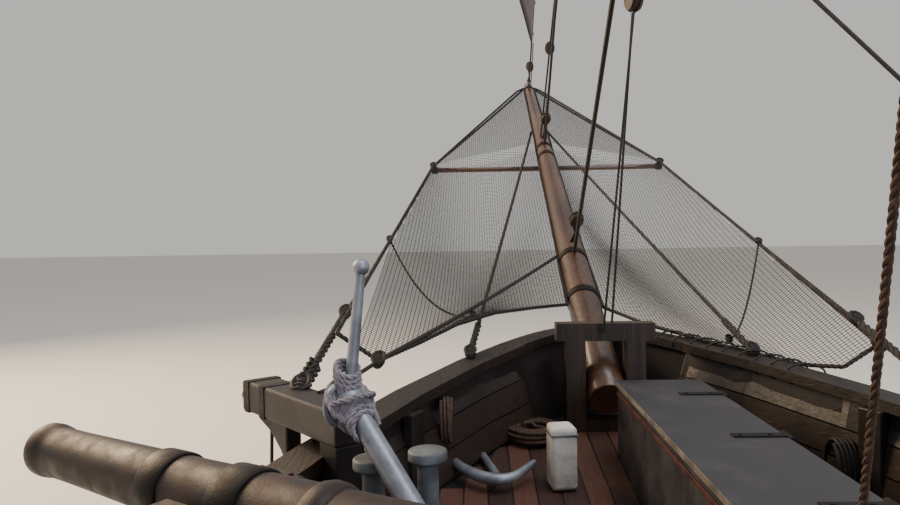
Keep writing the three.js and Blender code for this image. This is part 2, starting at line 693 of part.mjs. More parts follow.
// Yards ahead of the foremast with their sails furled on them
// columns: name, height, half length, middle radius, sail roll radius
const yards = [
  { name: 'fore_yard', sail: 'fore_course_furled', z: 7150, half: 3000, radius: 85, roll: 170 },
  { name: 'topsail_yard', sail: 'fore_topsail_furled', z: 10500, half: 2050, radius: 65, roll: 140 },
];
const yardX = foremast.x + 270;
for (const yard of yards) {
  const middle = point(yardX, 0, yard.z);
  const tip = (side) => point(yardX, side * yard.half, yard.z);
  const spar = mastRadiusAt(foremast, yard.z - 45);
  const parrelX = foremast.x + spar + 20;
  add(yard.name, join(
    bar(middle, tip(1), yard.radius, yard.radius * 0.5, 10),
    bar(middle, tip(-1), yard.radius, yard.radius * 0.5, 10),
    box(yardX - parrelX, 90, 90, (yardX + parrelX) / 2, 0, yard.z),
    collar(foremast.x, yard.z - 45, spar, 35, 90),
  ), materials.sparWood);
  const rollZ = yard.z + yard.radius + yard.roll * 0.8 + seam;
  const rollEnd = (side) => point(yardX, side * yard.half * 0.82, yard.z + yard.radius + 0.2 * yard.roll);
  const rollMiddle = point(yardX, 0, rollZ);
  add(yard.sail, join(
    bar(rollMiddle, rollEnd(1).setZ(rollZ), yard.roll * 0.8, yard.roll * 0.4, 10),
    bar(rollMiddle, rollEnd(-1).setZ(rollZ), yard.roll * 0.8, yard.roll * 0.4, 10),
  ), materials.tanSail);
}

// Stays from the bowsprit to the foremast
// columns: name, foot along the bowsprit, height on the mast, radius
const stays = [
  { name: 'stay_outer', along: 5600, z: 13600, radius: 10 },
  { name: 'stay_middle', along: 3307, z: 11750, radius: 12 },
  { name: 'stay_inner', along: 907, z: 8250, radius: 14 },
];
const stayLine = (stay) => ({ foot: bowspritAt(stay.along), head: point(foremast.x, 0, stay.z) });
for (const stay of stays) {
  const { foot, head } = stayLine(stay);
  const onForemast = (z) => mastRadiusAt(foremast, z) + seam;
  const onSprit = (along) => bowspritRadiusAt(along) + seam;
  const [low, high] = [stay.z - 300, stay.z + 300];
  const [inner, outer] = [stay.along - 200, stay.along + 160];
  const mastHere = bar(point(foremast.x, 0, low), point(foremast.x, 0, high),
    onForemast(low), onForemast(high), mastSides);
  const spritHere = bar(bowspritAt(inner), bowspritAt(outer), onSprit(inner), onSprit(outer), mastSides);
  const line = bar(foot, head, stay.radius, stay.radius, 6);
  add(stay.name, cut(line, mastHere, spritHere), materials.rope);
}

// A sail as a thin bellied sheet between four corners
function sailSolid(corners, belly, rows = 5, columns = 6, thickness = 14) {
  const [tack, clew, throat, peak] = corners;
  const rings = [];
  for (let r = 0; r < rows; r += 1) {
    const v = r / (rows - 1);
    const luff = tack.clone().lerp(throat, v);
    const leech = clew.clone().lerp(peak, v);
    const row = [];
    for (let k = 0; k < columns; k += 1) {
      const u = k / (columns - 1);
      const p = luff.clone().lerp(leech, u);
      p.y += belly * Math.sin(Math.PI * u) * (0.4 + 0.6 * Math.sin(Math.PI * v));
      row.push(p);
    }
    const shift = (p, side) => p.clone().setY(p.y + side * thickness / 2);
    rings.push([...row.map((p) => shift(p, 1)), ...row.map((p) => shift(p, -1)).reverse()]);
  }
  return loft(rings);
}

// Jibs hanked to the outer and middle stays, sheeted to port
// columns: name, stay, share of the stay at tack and head, clew
const jibs = [
  { name: 'jib_outer', stay: stays[0], tack: 0.055, head: 0.86, clew: point(4600, 1150, 5600) },
  { name: 'jib_inner', stay: stays[1], tack: 0.2, head: 0.84, clew: point(4300, 900, 5100) },
];
for (const jib of jibs) {
  const { foot, head } = stayLine(jib.stay);
  const below = jib.stay.radius + seam;
  const onStay = (share) => {
    const p = foot.clone().lerp(head, share);
    const along = head.clone().sub(foot).normalize();
    return p.addScaledVector(point(-along.z, 0, along.x), below);
  };
  const tack = onStay(jib.tack);
  const peak = onStay(jib.head);
  const nearPeak = peak.clone().add(point(-60, 5, -70));
  add(jib.name, sailSolid([tack, jib.clew, peak, nearPeak], 260), materials.tanSail);
}

// Gaff mainsail with its boom and gaff, abaft the mainmast
const boom = { z: 5450, length: 5200, radius: 85, jawX: mainmast.x - 175 };
const gaff = { z: 9300, length: 3500, radius: 65, rise: 0.62 };
const boomEnd = point(boom.jawX - boom.length, 0, boom.z + 260);
const gaffFoot = point(boom.jawX - 5, 0, gaff.z);
const gaffEnd = gaffFoot.clone()
  .add(point(-Math.cos(gaff.rise), 0, Math.sin(gaff.rise)).multiplyScalar(gaff.length));
const boomFoot = point(boom.jawX, 0, boom.z);
const onMast = (z) => mastRadiusAt(mainmast, z);
const jawFrom = (spar, gap) => point(mainmast.x - onMast(spar.z) - gap, 0, spar.z);
add('main_boom', join(
  bar(boomFoot, boomEnd, boom.radius, boom.radius * 0.7, mastSides),
  bar(jawFrom(boom, 20), boomFoot.clone().setX(boom.jawX - 30), 40, 60, 8),
  collar(mainmast.x, boom.z - 50, onMast(boom.z - 50), 35, 100),
), materials.sparWood);
add('main_gaff', join(
  bar(gaffFoot, gaffEnd, gaff.radius, gaff.radius * 0.6, mastSides),
  bar(jawFrom(gaff, 15), gaffFoot.clone().setX(gaffFoot.x - 20), 35, 50, 8),
  collar(mainmast.x, gaff.z - 45, onMast(gaff.z - 45), 32, 90),
), materials.sparWood);
// A point on top of the boom, or under the gaff, a share of the way along
const overBoom = (share) => boomFoot.clone().lerp(boomEnd, share)
  .add(point(0, 0, boom.radius * (1 - 0.3 * share) * 1.002 + 2 * seam));
const underGaff = (share) => gaffFoot.clone().lerp(gaffEnd, share)
  .add(point(0, 0, -gaff.radius * (1 - 0.4 * share) / Math.cos(gaff.rise) - 2 * seam));
add('main_sail', sailSolid([overBoom(0.02), overBoom(0.96), underGaff(0.05), underGaff(0.97)], 0, 5, 6),
  materials.tanSail);

// Guns: each on a wooden carriage with four trucks, muzzle over the rail
const gun = { trunnion: point(5865, 1206, 2352), turn: THREE.MathUtils.degToRad(58.4) };
function barrelGeometry() {
  // columns: distance ahead of the trunnions, radius
  const profile = [[-650, 0], [-650, 30], [-600, 38], [-590, 96], [-560, 102], [-540, 96], [-240, 88],
    [-200, 98], [-160, 88], [180, 82], [220, 88], [260, 79], [780, 73], [810, 78], [850, 75], [850, 36],
    [700, 36], [700, 0]];
  const lathe = new THREE.LatheGeometry(profile.map(([z, r]) => new THREE.Vector2(r, z)), 12);
  return join(
    moved(lathe, 0, 0, 0, 0, 0, -Math.PI / 2),
    bar(point(0, -150, -10), point(0, 150, -10), 30, 30, 10),
  );
}
function carriageGeometry() {
  const base = deckAt(gun.trunnion.x) - gun.trunnion.z;
  const outline = [[-520, base + 130], [260, base + 130], [230, -80], [150, 30], [42, 30], [42, -25],
    [20, -40 - seam], [-20, -40 - seam], [-42, -25], [-42, 20], [-200, -60], [-200, -160], [-360, -160],
    [-360, -280], [-520, -280]];
  const pieces = [];
  for (const side of [-1, 1]) {
    const cheek = new THREE.Shape(outline.map(([x, z]) => new THREE.Vector2(x, z)));
    const plate = new THREE.ExtrudeGeometry(cheek, { depth: 40, bevelEnabled: false });
    pieces.push(moved(plate, 0, side * 130 + 20, 0, Math.PI / 2));
  }
  for (const x of [-420, 160]) {
    pieces.push(box(90, 340, 90, x, 0, base + 130));
    for (const y of [-185, 185]) {
      pieces.push(moved(new THREE.CylinderGeometry(95, 95, 50, 12), x, y, base + 98));
    }
  }
  pieces.push(box(620, 240, 40, -130, 0, base + 170));
  return join(...pieces);
}
function addGun(side, name) {
  const group = new THREE.Group();
  group.position.set(gun.trunnion.x, side * gun.trunnion.y, gun.trunnion.z);
  group.rotation.z = side * gun.turn;
  group.updateMatrixWorld(true);
  const seated = onDeck(carriageGeometry().applyMatrix4(group.matrixWorld));
  seated.applyMatrix4(group.matrixWorld.clone().invert());
  add(`gun_carriage_${name}`, seated, materials.darkWood, group);
  add(`gun_barrel_${name}`, barrelGeometry(), materials.iron, group);
  ship.add(group);
}
addGun(1, 'port');
addGun(-1, 'starboard');

// Midship deckhouse, hollow, with its door on the after side
const house = {
  aftX: -1500, foreX: 700, half: 850, height: 1250, wall: 60, doorWidth: 600, doorHeight: 1080,
};
function houseSolid() {
  const breaks = [house.foreX, 0, house.aftX];
  const top = deckAt(0) + house.height;
  const shell = loft(breaks.map((x) => [point(x, house.half, deckAt(x) + 2 * seam),
    point(x, house.half, top), point(x, -house.half, top), point(x, -house.half, deckAt(x) + 2 * seam)]));
  const middleX = (house.foreX + house.aftX) / 2;
  const length = house.foreX - house.aftX;
  const roof = box(length + 160, 2 * house.half + 160, 60, middleX, 0, top + 20);
  const hollow = box(length - 2 * house.wall, 2 * (house.half - house.wall), house.height * 2,
    middleX, 0, top - house.height - house.wall);
  const windows = [-1000, 200].map((x) => box(480, 3000, 380, x, 0, top - 420));
  const doorway = box(300, house.doorWidth, house.doorHeight + 200, house.aftX, 0,
    deckAt(house.aftX) + house.doorHeight / 2 - 100);
  return cut(join(shell, roof), hollow, ...windows, doorway);
}
add('deckhouse', houseSolid(), materials.sparWood);
// The deck rises abaft the deckhouse, so its door needs a higher sill to swing over it
const houseSillGap = 22;
add('deckhouse_door',
  doorSolid(house.aftX, -1, house.doorWidth, house.doorHeight, 40, houseSillGap), materials.darkWood);

// Hatch between the foremast and the deckhouse
const hatch = { aftX: 1550, foreX: 2550, half: 500, height: 260, wall: 60 };
function hatchSolid() {
  const top = deckAt(hatch.foreX) + hatch.height;
  const shell = loft([hatch.foreX, hatch.aftX].map((x) => [point(x, hatch.half, deckAt(x) + seam),
    point(x, hatch.half, top), point(x, -hatch.half, top), point(x, -hatch.half, deckAt(x) + seam)]));
  const hollow = box(hatch.foreX - hatch.aftX - 2 * hatch.wall, 2 * (hatch.half - hatch.wall), 200,
    (hatch.foreX + hatch.aftX) / 2, 0, top);
  return cut(shell, hollow);
}
const hatchTop = deckAt(hatch.foreX) + hatch.height;
add('cargo_hatch', hatchSolid(), materials.darkWood);
add('hatch_lid', box(hatch.foreX - hatch.aftX + 60, 2 * hatch.half + 60, 50,
  (hatch.foreX + hatch.aftX) / 2, 0, hatchTop + 25 + seam), materials.deckWood);

// Steering wheel on its stand, on the quarterdeck
const wheel = { x: -5000, radius: 520, axisHeight: 980 };
const wheelZ = roofAt(wheel.x) + wheel.axisHeight;
add('wheel_stand', onQuarterdeck(
  box(260, 340, 120, wheel.x + 210, 0, roofAt(wheel.x + 210)),
  box(160, 200, wheel.axisHeight + 160, wheel.x + 210, 0, roofAt(wheel.x) + (wheel.axisHeight + 80) / 2),
), materials.darkWood);
function wheelSolid() {
  const ring = new THREE.TorusGeometry(wheel.radius * 0.72, 30, 5, 18);
  const hub = bar(point(wheel.x - 50, 0, wheelZ), point(wheel.x + 130 - seam, 0, wheelZ), 70, 70, 12);
  const pieces = [moved(ring, wheel.x, 0, wheelZ, 0, Math.PI / 2), hub];
  for (let spoke = 0; spoke < 8; spoke += 1) {
    const angle = spoke * Math.PI / 4;
    const end = point(wheel.x, wheel.radius * Math.cos(angle), wheelZ + wheel.radius * Math.sin(angle));
    pieces.push(bar(point(wheel.x, 0, wheelZ), end, 18, 16, 5));
  }
  return join(...pieces);
}
add('steering_wheel', wheelSolid(), materials.sparWood);

// Stern lantern and ensign staff with a plain flag
const sternZ = roofAt(transomX);
function lanternSolid() {
  const x = transomX - 200;
  return join(
    box(260, 60, 60, transomX - 130 - seam, 0, sternZ - 120),
    bar(point(x, 0, sternZ - 120), point(x, 0, sternZ + 200), 30, 30, 8),
    bar(point(x, 0, sternZ + 180), point(x, 0, sternZ + 640), 120, 180, 6),
    bar(point(x, 0, sternZ + 630), point(x, 0, sternZ + 860), 200, 20, 6),
  );
}
add('stern_lantern', lanternSolid(), materials.gold);
const staffFoot = point(transomX + 60, 1200, roofAt(transomX + 60) - 40);
const staffHead = point(transomX - 500, 1200, sternZ + 2600);
add('ensign', onQuarterdeck(
  bar(staffFoot, staffHead, 32, 22, 8),
  sailSolid([staffFoot.clone().lerp(staffHead, 0.62), point(transomX - 1350, 1230, sternZ + 1500),
    staffFoot.clone().lerp(staffHead, 0.97), point(transomX - 1500, 1230, sternZ + 2350)], 90, 3, 6, 12),
), materials.tanSail);

// Benches along the waist
function benchSolid() {
  const y = 2000;
  const base = Math.max(deckAt(1400), deckAt(-1300));
  const pieces = [box(2700, 380, 40, 50, y, base + 440)];
  for (const x of [-1150, 50, 1250]) {
    pieces.push(box(60, 340, base + 480 - deckAt(x), x, y, (base + 380 + deckAt(x)) / 2));
  }
  return onDeck(...pieces);
}
addPair('bench', benchSolid(), materials.sparWood);

export default ship;
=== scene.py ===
import math
import random
import bmesh
import bpy
import numpy as np
from mathutils import Matrix, Vector, noise
from mathutils.bvhtree import BVHTree


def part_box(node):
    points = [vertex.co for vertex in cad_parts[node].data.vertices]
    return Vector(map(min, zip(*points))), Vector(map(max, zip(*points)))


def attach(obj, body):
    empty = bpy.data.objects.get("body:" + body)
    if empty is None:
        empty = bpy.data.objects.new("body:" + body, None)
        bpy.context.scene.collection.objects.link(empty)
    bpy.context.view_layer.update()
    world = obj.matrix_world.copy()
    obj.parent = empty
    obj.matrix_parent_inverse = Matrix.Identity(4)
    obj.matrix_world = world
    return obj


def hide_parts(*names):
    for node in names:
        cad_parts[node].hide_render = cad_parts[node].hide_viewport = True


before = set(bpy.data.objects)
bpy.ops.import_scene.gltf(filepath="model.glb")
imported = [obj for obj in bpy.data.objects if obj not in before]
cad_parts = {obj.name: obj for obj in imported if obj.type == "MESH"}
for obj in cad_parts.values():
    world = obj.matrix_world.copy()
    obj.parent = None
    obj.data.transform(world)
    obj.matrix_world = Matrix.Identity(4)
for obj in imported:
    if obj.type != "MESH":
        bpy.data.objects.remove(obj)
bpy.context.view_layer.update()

up = Vector((0, 0, 1))
forward = Vector((1, 0, 0))
toPort = Vector((0, 1, 0))
shipSides = ((1, "port"), (-1, "starboard"))

# Camera at the photo's viewpoint on the foredeck, looking forward
camera = {
    "place": (4.372, 0.728, 2.935),
    "yaw": 0.037,
    "pitch": -0.027,
    "roll": -0.016,
    "lens": 28.6,
}


def makeCamera():
    yaw, pitch, roll = camera["yaw"], camera["pitch"], camera["roll"]
    ahead = Vector((math.cos(yaw) * math.cos(pitch), math.sin(yaw) * math.cos(pitch), math.sin(pitch)))
    left = Vector((-math.sin(yaw), math.cos(yaw), 0))
    above = ahead.cross(left)
    side = left * math.cos(roll) - above * math.sin(roll)
    top = left * math.sin(roll) + above * math.cos(roll)
    turn = Matrix((-side, top, -ahead)).transposed().to_4x4()
    data = bpy.data.cameras.new("photo_camera")
    data.lens = camera["lens"]
    data.sensor_width = 36
    data.clip_start = 0.05
    data.clip_end = 900
    item = bpy.data.objects.new("photo_camera", data)
    item.matrix_world = Matrix.Translation(camera["place"]) @ turn
    bpy.context.scene.collection.objects.link(item)
    bpy.context.scene.camera = item


makeCamera()
print("camera placed")


# Materials
def linear(hexColour):
    values = [int(hexColour[i:i + 2], 16) / 255 for i in (1, 3, 5)]
    return [v / 12.92 if v <= 0.04045 else ((v + 0.055) / 1.055) ** 2.4 for v in values] + [1.0]


def addNode(tree, kind, inputs=None, **settings):
    node = tree.nodes.new(kind)
    for key, value in settings.items():
        setattr(node, key, value)
    for key, value in (inputs or {}).items():
        socket = node.inputs[key]
        if isinstance(value, bpy.types.NodeSocket):
            tree.links.new(value, socket)
        else:
            socket.default_value = value
    return node


def calc(tree, operation, *values):
    return addNode(tree, "ShaderNodeMath", dict(enumerate(values)), operation=operation).outputs[0]


def calcVector(tree, operation, inputs):
    return addNode(tree, "ShaderNodeVectorMath", inputs, operation=operation).outputs[0]


def mottle(tree, place, scale, detail, roughness=0.5, distortion=0.0):
    inputs = {"Vector": place, "Scale": scale, "Detail": detail}
    node = addNode(tree, "ShaderNodeTexNoise", {**inputs, "Roughness": roughness, "Distortion": distortion})
    return node.outputs["Fac"]


def randomShade(tree, number):
    # one random value for each whole number
    whole = calc(tree, "FLOOR", number)
    return addNode(tree, "ShaderNodeTexWhiteNoise", {"W": whole}, noise_dimensions="1D").outputs["Value"]


def fromMiddle(tree, number):
    # how far a value is from the middle of its whole number, 0 to 0.5
    return calc(tree, "ABSOLUTE", calc(tree, "SUBTRACT", calc(tree, "FRACT", number), 0.5))


def newFinish(name, **sockets):
    finish = bpy.data.materials.new(name)
    finish.use_nodes = True
    tree = finish.node_tree
    skin = tree.nodes["Principled BSDF"]
    for key, value in sockets.items():
        skin.inputs[key.replace("_", " ")].default_value = value
    return finish, tree, skin


def tones(tree, share, colours):
    ramp = addNode(tree, "ShaderNodeValToRGB", {"Fac": share})
    stops = ramp.color_ramp.elements
    while len(stops) < len(colours):
        stops.new(0.5)
    for stop, (place, colour) in zip(stops, colours):
        stop.position = place
        stop.color = linear(colour)
    return ramp.outputs["Color"]


def span(tree, value, low, high, outLow, outHigh):
    made = addNode(tree, "ShaderNodeMapRange", {"Value": value, "From Min": low, "From Max": high,
                                                "To Min": outLow, "To Max": outHigh})
    return made.outputs["Result"]


def dress(tree, skin, colour, rough, height, depth):
    tree.links.new(colour, skin.inputs["Base Color"])
    tree.links.new(rough, skin.inputs["Roughness"])
    bump = addNode(tree, "ShaderNodeBump", {"Height": height, "Distance": depth, "Strength": 0.8})
    tree.links.new(bump.outputs["Normal"], skin.inputs["Normal"])


def grainedWood(name, colours, along, grain=0.008, rough=(0.45, 0.7), seam=None, **sockets):
    # grain is the growth ring's spacing in metres; seam is a board's width and the axis across it
    finish, tree, skin = newFinish(name, **sockets)
    place = addNode(tree, "ShaderNodeTexCoord").outputs["Object"]
    stretch = [0.05 if axis == along else 1.0 for axis in "xyz"]
    drawn = addNode(tree, "ShaderNodeMapping", {"Vector": place, "Scale": stretch}).outputs["Vector"]
    fibre = mottle(tree, drawn, 0.35 / grain, 6.0, 0.65, 0.6)
    patch = mottle(tree, drawn, 3.0, 3.0)
    both = calc(tree, "ADD", fibre, patch)
    share = span(tree, both, 0.6, 1.4, 0.0, 1.0)
    colour = tones(tree, share, colours)
    height = fibre
    if seam:
        width, axis = seam
        parts = addNode(tree, "ShaderNodeSeparateXYZ", {"Vector": place}).outputs[axis.upper()]
        boards = calc(tree, "DIVIDE", parts, width)
        edge = 0.5 - 0.004 / width
        joint = span(tree, fromMiddle(tree, boards), edge - 0.02, edge, 1.0, 0.0)
        lift = span(tree, randomShade(tree, boards), 0.0, 1.0, 0.72, 1.15)
        tone = calc(tree, "MAXIMUM", calc(tree, "MULTIPLY", joint, lift), 0.12)
        colour = calcVector(tree, "SCALE", {0: colour, "Scale": tone})
        height = calc(tree, "MULTIPLY", fibre, joint)
    dress(tree, skin, colour, span(tree, both, 0.6, 1.4, rough[1], rough[0]), height, 0.004)
    return finish


def plankedWood(name, colours, rough=(0.5, 0.8), **sockets):
    # boards carry their length along U in metres and their number in V
    finish, tree, skin = newFinish(name, **sockets)
    place = addNode(tree, "ShaderNodeUVMap", uv_map="UVMap").outputs["UV"]
    parts = addNode(tree, "ShaderNodeSeparateXYZ", {"Vector": place}).outputs
    each = randomShade(tree, parts["Y"])
    where = addNode(tree, "ShaderNodeTexCoord").outputs["Object"]
    drawn = addNode(tree, "ShaderNodeMapping", {"Vector": where, "Scale": (0.06, 1.0, 1.0)}).outputs["Vector"]
    shift = addNode(tree, "ShaderNodeCombineXYZ", {"X": each}).outputs[0]
    fibre = mottle(tree, calcVector(tree, "ADD", {0: drawn, 1: shift}), 45.0, 6.0, 0.65, 0.5)
    worn = mottle(tree, where, 1.6, 4.0)
    share = calc(tree, "MULTIPLY", calc(tree, "ADD", calc(tree, "ADD", fibre, worn), each), 0.5)
    colour = tones(tree, span(tree, share, 0.3, 0.95, 0.0, 1.0), colours)
    dress(tree, skin, colour, span(tree, fibre, 0.3, 0.7, rough[1], rough[0]), fibre, 0.0025)
    return finish


def blotchy(name, colours, size, rough, depth, fine=60.0, **sockets):
    # paint, rust or cast metal: broad blotches of the given size in metres, over a fine grit
    finish, tree, skin = newFinish(name, **sockets)
    place = addNode(tree, "ShaderNodeTexCoord").outputs["Object"]
    broad = mottle(tree, place, 1 / size, 5.0, 0.62, 0.3)
    grit = mottle(tree, place, fine, 3.0)
    colour = tones(tree, broad, colours)
    both = calc(tree, "ADD", broad, grit)
    dress(tree, skin, colour, span(tree, broad, 0.35, 0.65, rough[0], rough[1]), both, depth)
    return finish


def wovenCloth(name, colours, thread=0.003, panel=0.55, **sockets):
    # U runs along the foot and V up the sail, both in metres; panel is the width of a cloth
    finish, tree, skin = newFinish(name, **sockets)
    place = addNode(tree, "ShaderNodeUVMap", uv_map="UVMap").outputs["UV"]
    parts = addNode(tree, "ShaderNodeSeparateXYZ", {"Vector": place}).outputs
    where = addNode(tree, "ShaderNodeTexCoord").outputs["Object"]
    broad = mottle(tree, where, 0.9, 6.0, 0.6)
    weave = mottle(tree, where, 0.3 / thread, 2.0)
    panels = calc(tree, "DIVIDE", parts["X"], panel)
    seam = span(tree, fromMiddle(tree, panels), 0.465, 0.475, 0.0, 1.0)
    tint = calc(tree, "MULTIPLY", randomShade(tree, panels), 0.18)
    dark = calc(tree, "MULTIPLY", seam, -0.22)
    colour = tones(tree, calc(tree, "ADD", calc(tree, "ADD", broad, tint), dark), colours)
    height = calc(tree, "ADD", weave, seam)
    dress(tree, skin, colour, span(tree, broad, 0.3, 0.7, 0.95, 0.8), height, 0.0015)
    return finish


def paintedHull(name, colours, line, **sockets):
    # tones under 0.5 show below the line and the others above it
    finish, tree, skin = newFinish(name, **sockets)
    place = addNode(tree, "ShaderNodeTexCoord").outputs["Object"]
    broad = mottle(tree, place, 2.2, 5.0, 0.62)
    height = addNode(tree, "ShaderNodeSeparateXYZ", {"Vector": place}).outputs["Z"]
    over = calc(tree, "GREATER_THAN", height, line)
    share = calc(tree, "MULTIPLY_ADD", over, 0.5, calc(tree, "MULTIPLY", broad, 0.5))
    dress(tree, skin, tones(tree, share, colours), span(tree, broad, 0.35, 0.65, 0.5, 0.8), broad, 0.001)
    return finish


# near-black paint over planks, a satin sheen, faded and salt-marked in places
hullPaint = blotchy("satin_black_hull_paint", [(0.3, "#0f0b09"), (0.52, "#171110"), (0.72, "#231a17")],
                    0.5, (0.38, 0.62), 0.0006, Specular_IOR_Level=0.45)
# the same paint laid on strakes, each its own shade
strakePaint = plankedWood("painted_oak_strakes", [(0.1, "#0f0b09"), (0.5, "#1b1411"), (0.9, "#2e231d")],
                          (0.36, 0.6))
# red-brown antifouling under the waterline, chalky
bottomPaint = blotchy("antifouling_red_paint", [(0.3, "#3d1712"), (0.6, "#54211a"), (0.8, "#6a3428")],
                      0.4, (0.8, 0.95), 0.003)
# the plank seams and the flat of the stem: the same two paints, parted at the waterline
hullSides = paintedHull("hull_side_paints", [(0.18, "#351410"), (0.26, "#4a1c16"), (0.36, "#5c2a20"),
                                             (0.64, "#0f0b09"), (0.76, "#171110"), (0.86, "#231a17")], 0.0)
# oiled dark oak of rails, catheads, carriages and tops
darkOakX, darkOakZ, darkOakY = [
    grainedWood("oiled_dark_oak" + way, [(0.15, "#160f0b"), (0.5, "#2a1c13"), (0.9, "#46301f")], axis)
    for way, axis in (("", "x"), ("_upright", "z"), ("_across", "y"))]
# rails and the bow's timber: tar-blackened oak, its colour darkened further with painted dusk shade
railOak = grainedWood("tarred_rail_oak_with_painted_shade", [(0.15, "#0e0a08"), (0.5, "#1b130e"), (0.9, "#2f2219")], "x")
# the stern cabin's boards, laid level and oiled
cabinOak = grainedWood("oiled_oak_boarding", [(0.15, "#1c120b"), (0.5, "#352214"), (0.9, "#523620")], "x",
                       seam=(0.16, "z"))
# varnished pine of spars: warm, with a clear coat over long grain
sparPineX, sparPineY, sparPineZ = [
    grainedWood("varnished_pine_" + way, [(0.1, "#26150b"), (0.5, "#452a18"), (0.9, "#64432a")], axis,
                rough=(0.3, 0.5), Coat_Weight=0.3, Coat_Roughness=0.2)
    for way, axis in (("fore_aft", "x"), ("athwart", "y"), ("upright", "z"))]
# the deckhouse's upright boards, varnished
housePine = grainedWood("varnished_pine_boarding", [(0.1, "#2a180e"), (0.5, "#4a2d1b"), (0.9, "#68472e")],
                        "z", rough=(0.35, 0.55), seam=(0.11, "x"), Coat_Weight=0.2, Coat_Roughness=0.25)
# reddish-brown deck boards, scrubbed dull
deckWood = plankedWood("scrubbed_deck_planks", [(0.1, "#23130e"), (0.5, "#3c2219"), (0.9, "#563529")],
                       (0.55, 0.85))
# bench slats, their varnish worn
benchWood = plankedWood("worn_bench_slats", [(0.1, "#2e1c11"), (0.5, "#4c321f"), (0.9, "#6b4b31")],
                        (0.5, 0.75))
# bronze of the propeller and the wheel, dulled
bronze = blotchy("dull_cast_bronze", [(0.3, "#5a4220"), (0.55, "#8a6a35"), (0.75, "#5d6a48")], 0.06,
                 (0.35, 0.6), 0.001, Metallic=0.9)
# gun barrels: rust over black paint
rustyIron = blotchy("rusty_cast_iron", [(0.28, "#110b09"), (0.47, "#1f1310"), (0.62, "#2e1d18"),
                                        (0.8, "#432b21")],
                    0.07, (0.42, 0.66), 0.0007, 220.0, Metallic=0.25)
# forged fittings, blackened, with a little rust
blackIron = blotchy("blackened_wrought_iron", [(0.3, "#0f0e0e"), (0.6, "#1d1b1a"), (0.8, "#3a2a20")], 0.05,
                    (0.45, 0.7), 0.0008, 180.0, Metallic=0.7)
# the anchor's silver paint, thick and a little uneven
silverPaint = blotchy("silver_anchor_paint", [(0.3, "#6d7078"), (0.55, "#8b8f98"), (0.75, "#a3a7ae")], 0.12,
                      (0.34, 0.5), 0.0009, 140.0, Metallic=0.55)
# grey deck paint on the mooring posts
greyPaint = blotchy("grey_deck_paint", [(0.3, "#3f4347"), (0.55, "#565b5f"), (0.75, "#6d7276")], 0.1,
                    (0.45, 0.65), 0.0008)
# the locker's dark grey paint, scuffed
lockerPaint = blotchy("slate_grey_locker_paint", [(0.3, "#1a1b20"), (0.55, "#26272d"), (0.78, "#3a3b41")],
                      0.22, (0.42, 0.62), 0.0009)
# pale paint on the locker lid's edge, worn
trimPaint = blotchy("worn_pale_trim_paint", [(0.3, "#45413e"), (0.55, "#625d59"), (0.75, "#7c7671")], 0.1,
                    (0.5, 0.7), 0.0008)
# the box's white paint, gone chalky
whitePaint = blotchy("chalky_white_paint", [(0.3, "#a9a59e"), (0.55, "#cbc8c2"), (0.75, "#dddad5")], 0.08,
                     (0.5, 0.7), 0.0006)
# cutch-tanned canvas, dark reddish brown, matt with seams every cloth
tannedCanvas = wovenCloth("tanned_flax_canvas", [(0.25, "#1b0f0c"), (0.5, "#2e1914"), (0.75, "#41271f")],
                          Sheen_Weight=0.15)
# thin black bunting, faded a little
flagCloth = wovenCloth("plain_black_bunting", [(0.25, "#0d0c0d"), (0.5, "#171617"), (0.75, "#242223")],
                       thread=0.002, panel=0.46, Sheen_Weight=0.2)
# ropes: tarred hemp nearly black, plain manila brown, a faded purple-grey line
tarredRope = blotchy("tarred_hemp_rope", [(0.3, "#0d0a08"), (0.55, "#1b1510"), (0.8, "#2e241b")], 0.03,
                     (0.6, 0.8), 0.0006, 400.0)
manilaRope = blotchy("weathered_manila_rope", [(0.3, "#2e221b"), (0.55, "#4a382c"), (0.8, "#66503f")], 0.02,
                     (0.8, 0.95), 0.0008, 500.0)
paleRope = blotchy("faded_grey_line", [(0.3, "#6a636a"), (0.55, "#8d858c"), (0.8, "#aca4aa")], 0.02,
                   (0.8, 0.95), 0.0006, 500.0)
netTwine = blotchy("tarred_net_twine", [(0.3, "#0d0b0a"), (0.6, "#191512"), (0.8, "#2a231d")], 0.02,
                   (0.7, 0.9), 0.0003, 500.0)
# the lantern's gilding, dulled
gilt = blotchy("gilded_iron", [(0.3, "#4a3719"), (0.52, "#6b512a"), (0.75, "#87693a")], 0.12,
               (0.3, 0.5), 0.0006, 160.0, Metallic=0.8)
# gold paint gone brown on mouldings and window frames
dullGold = blotchy("worn_gold_paint", [(0.3, "#3f2d16"), (0.55, "#5f4724"), (0.75, "#7b6036")], 0.3,
                   (0.45, 0.65), 0.0006, Metallic=0.3)
# old window glass, slightly uneven, its near-black colour painted shade of the dark rooms behind it
paneGlass = blotchy("window_glass_painted_dark", [(0.3, "#0c1211"), (0.55, "#141c1a"), (0.75, "#1f2a27")], 0.25,
                    (0.05, 0.14), 0.0004, 9.0)
# the lantern's amber panes
amberGlass = blotchy("amber_lantern_glass", [(0.3, "#8a5520"), (0.55, "#a86d2c"), (0.75, "#c08a45")], 0.08,
                     (0.12, 0.25), 0.001, 30.0, Alpha=0.75)
print("materials made")


def pair(name):
    return [name + "_port", name + "_starboard"]


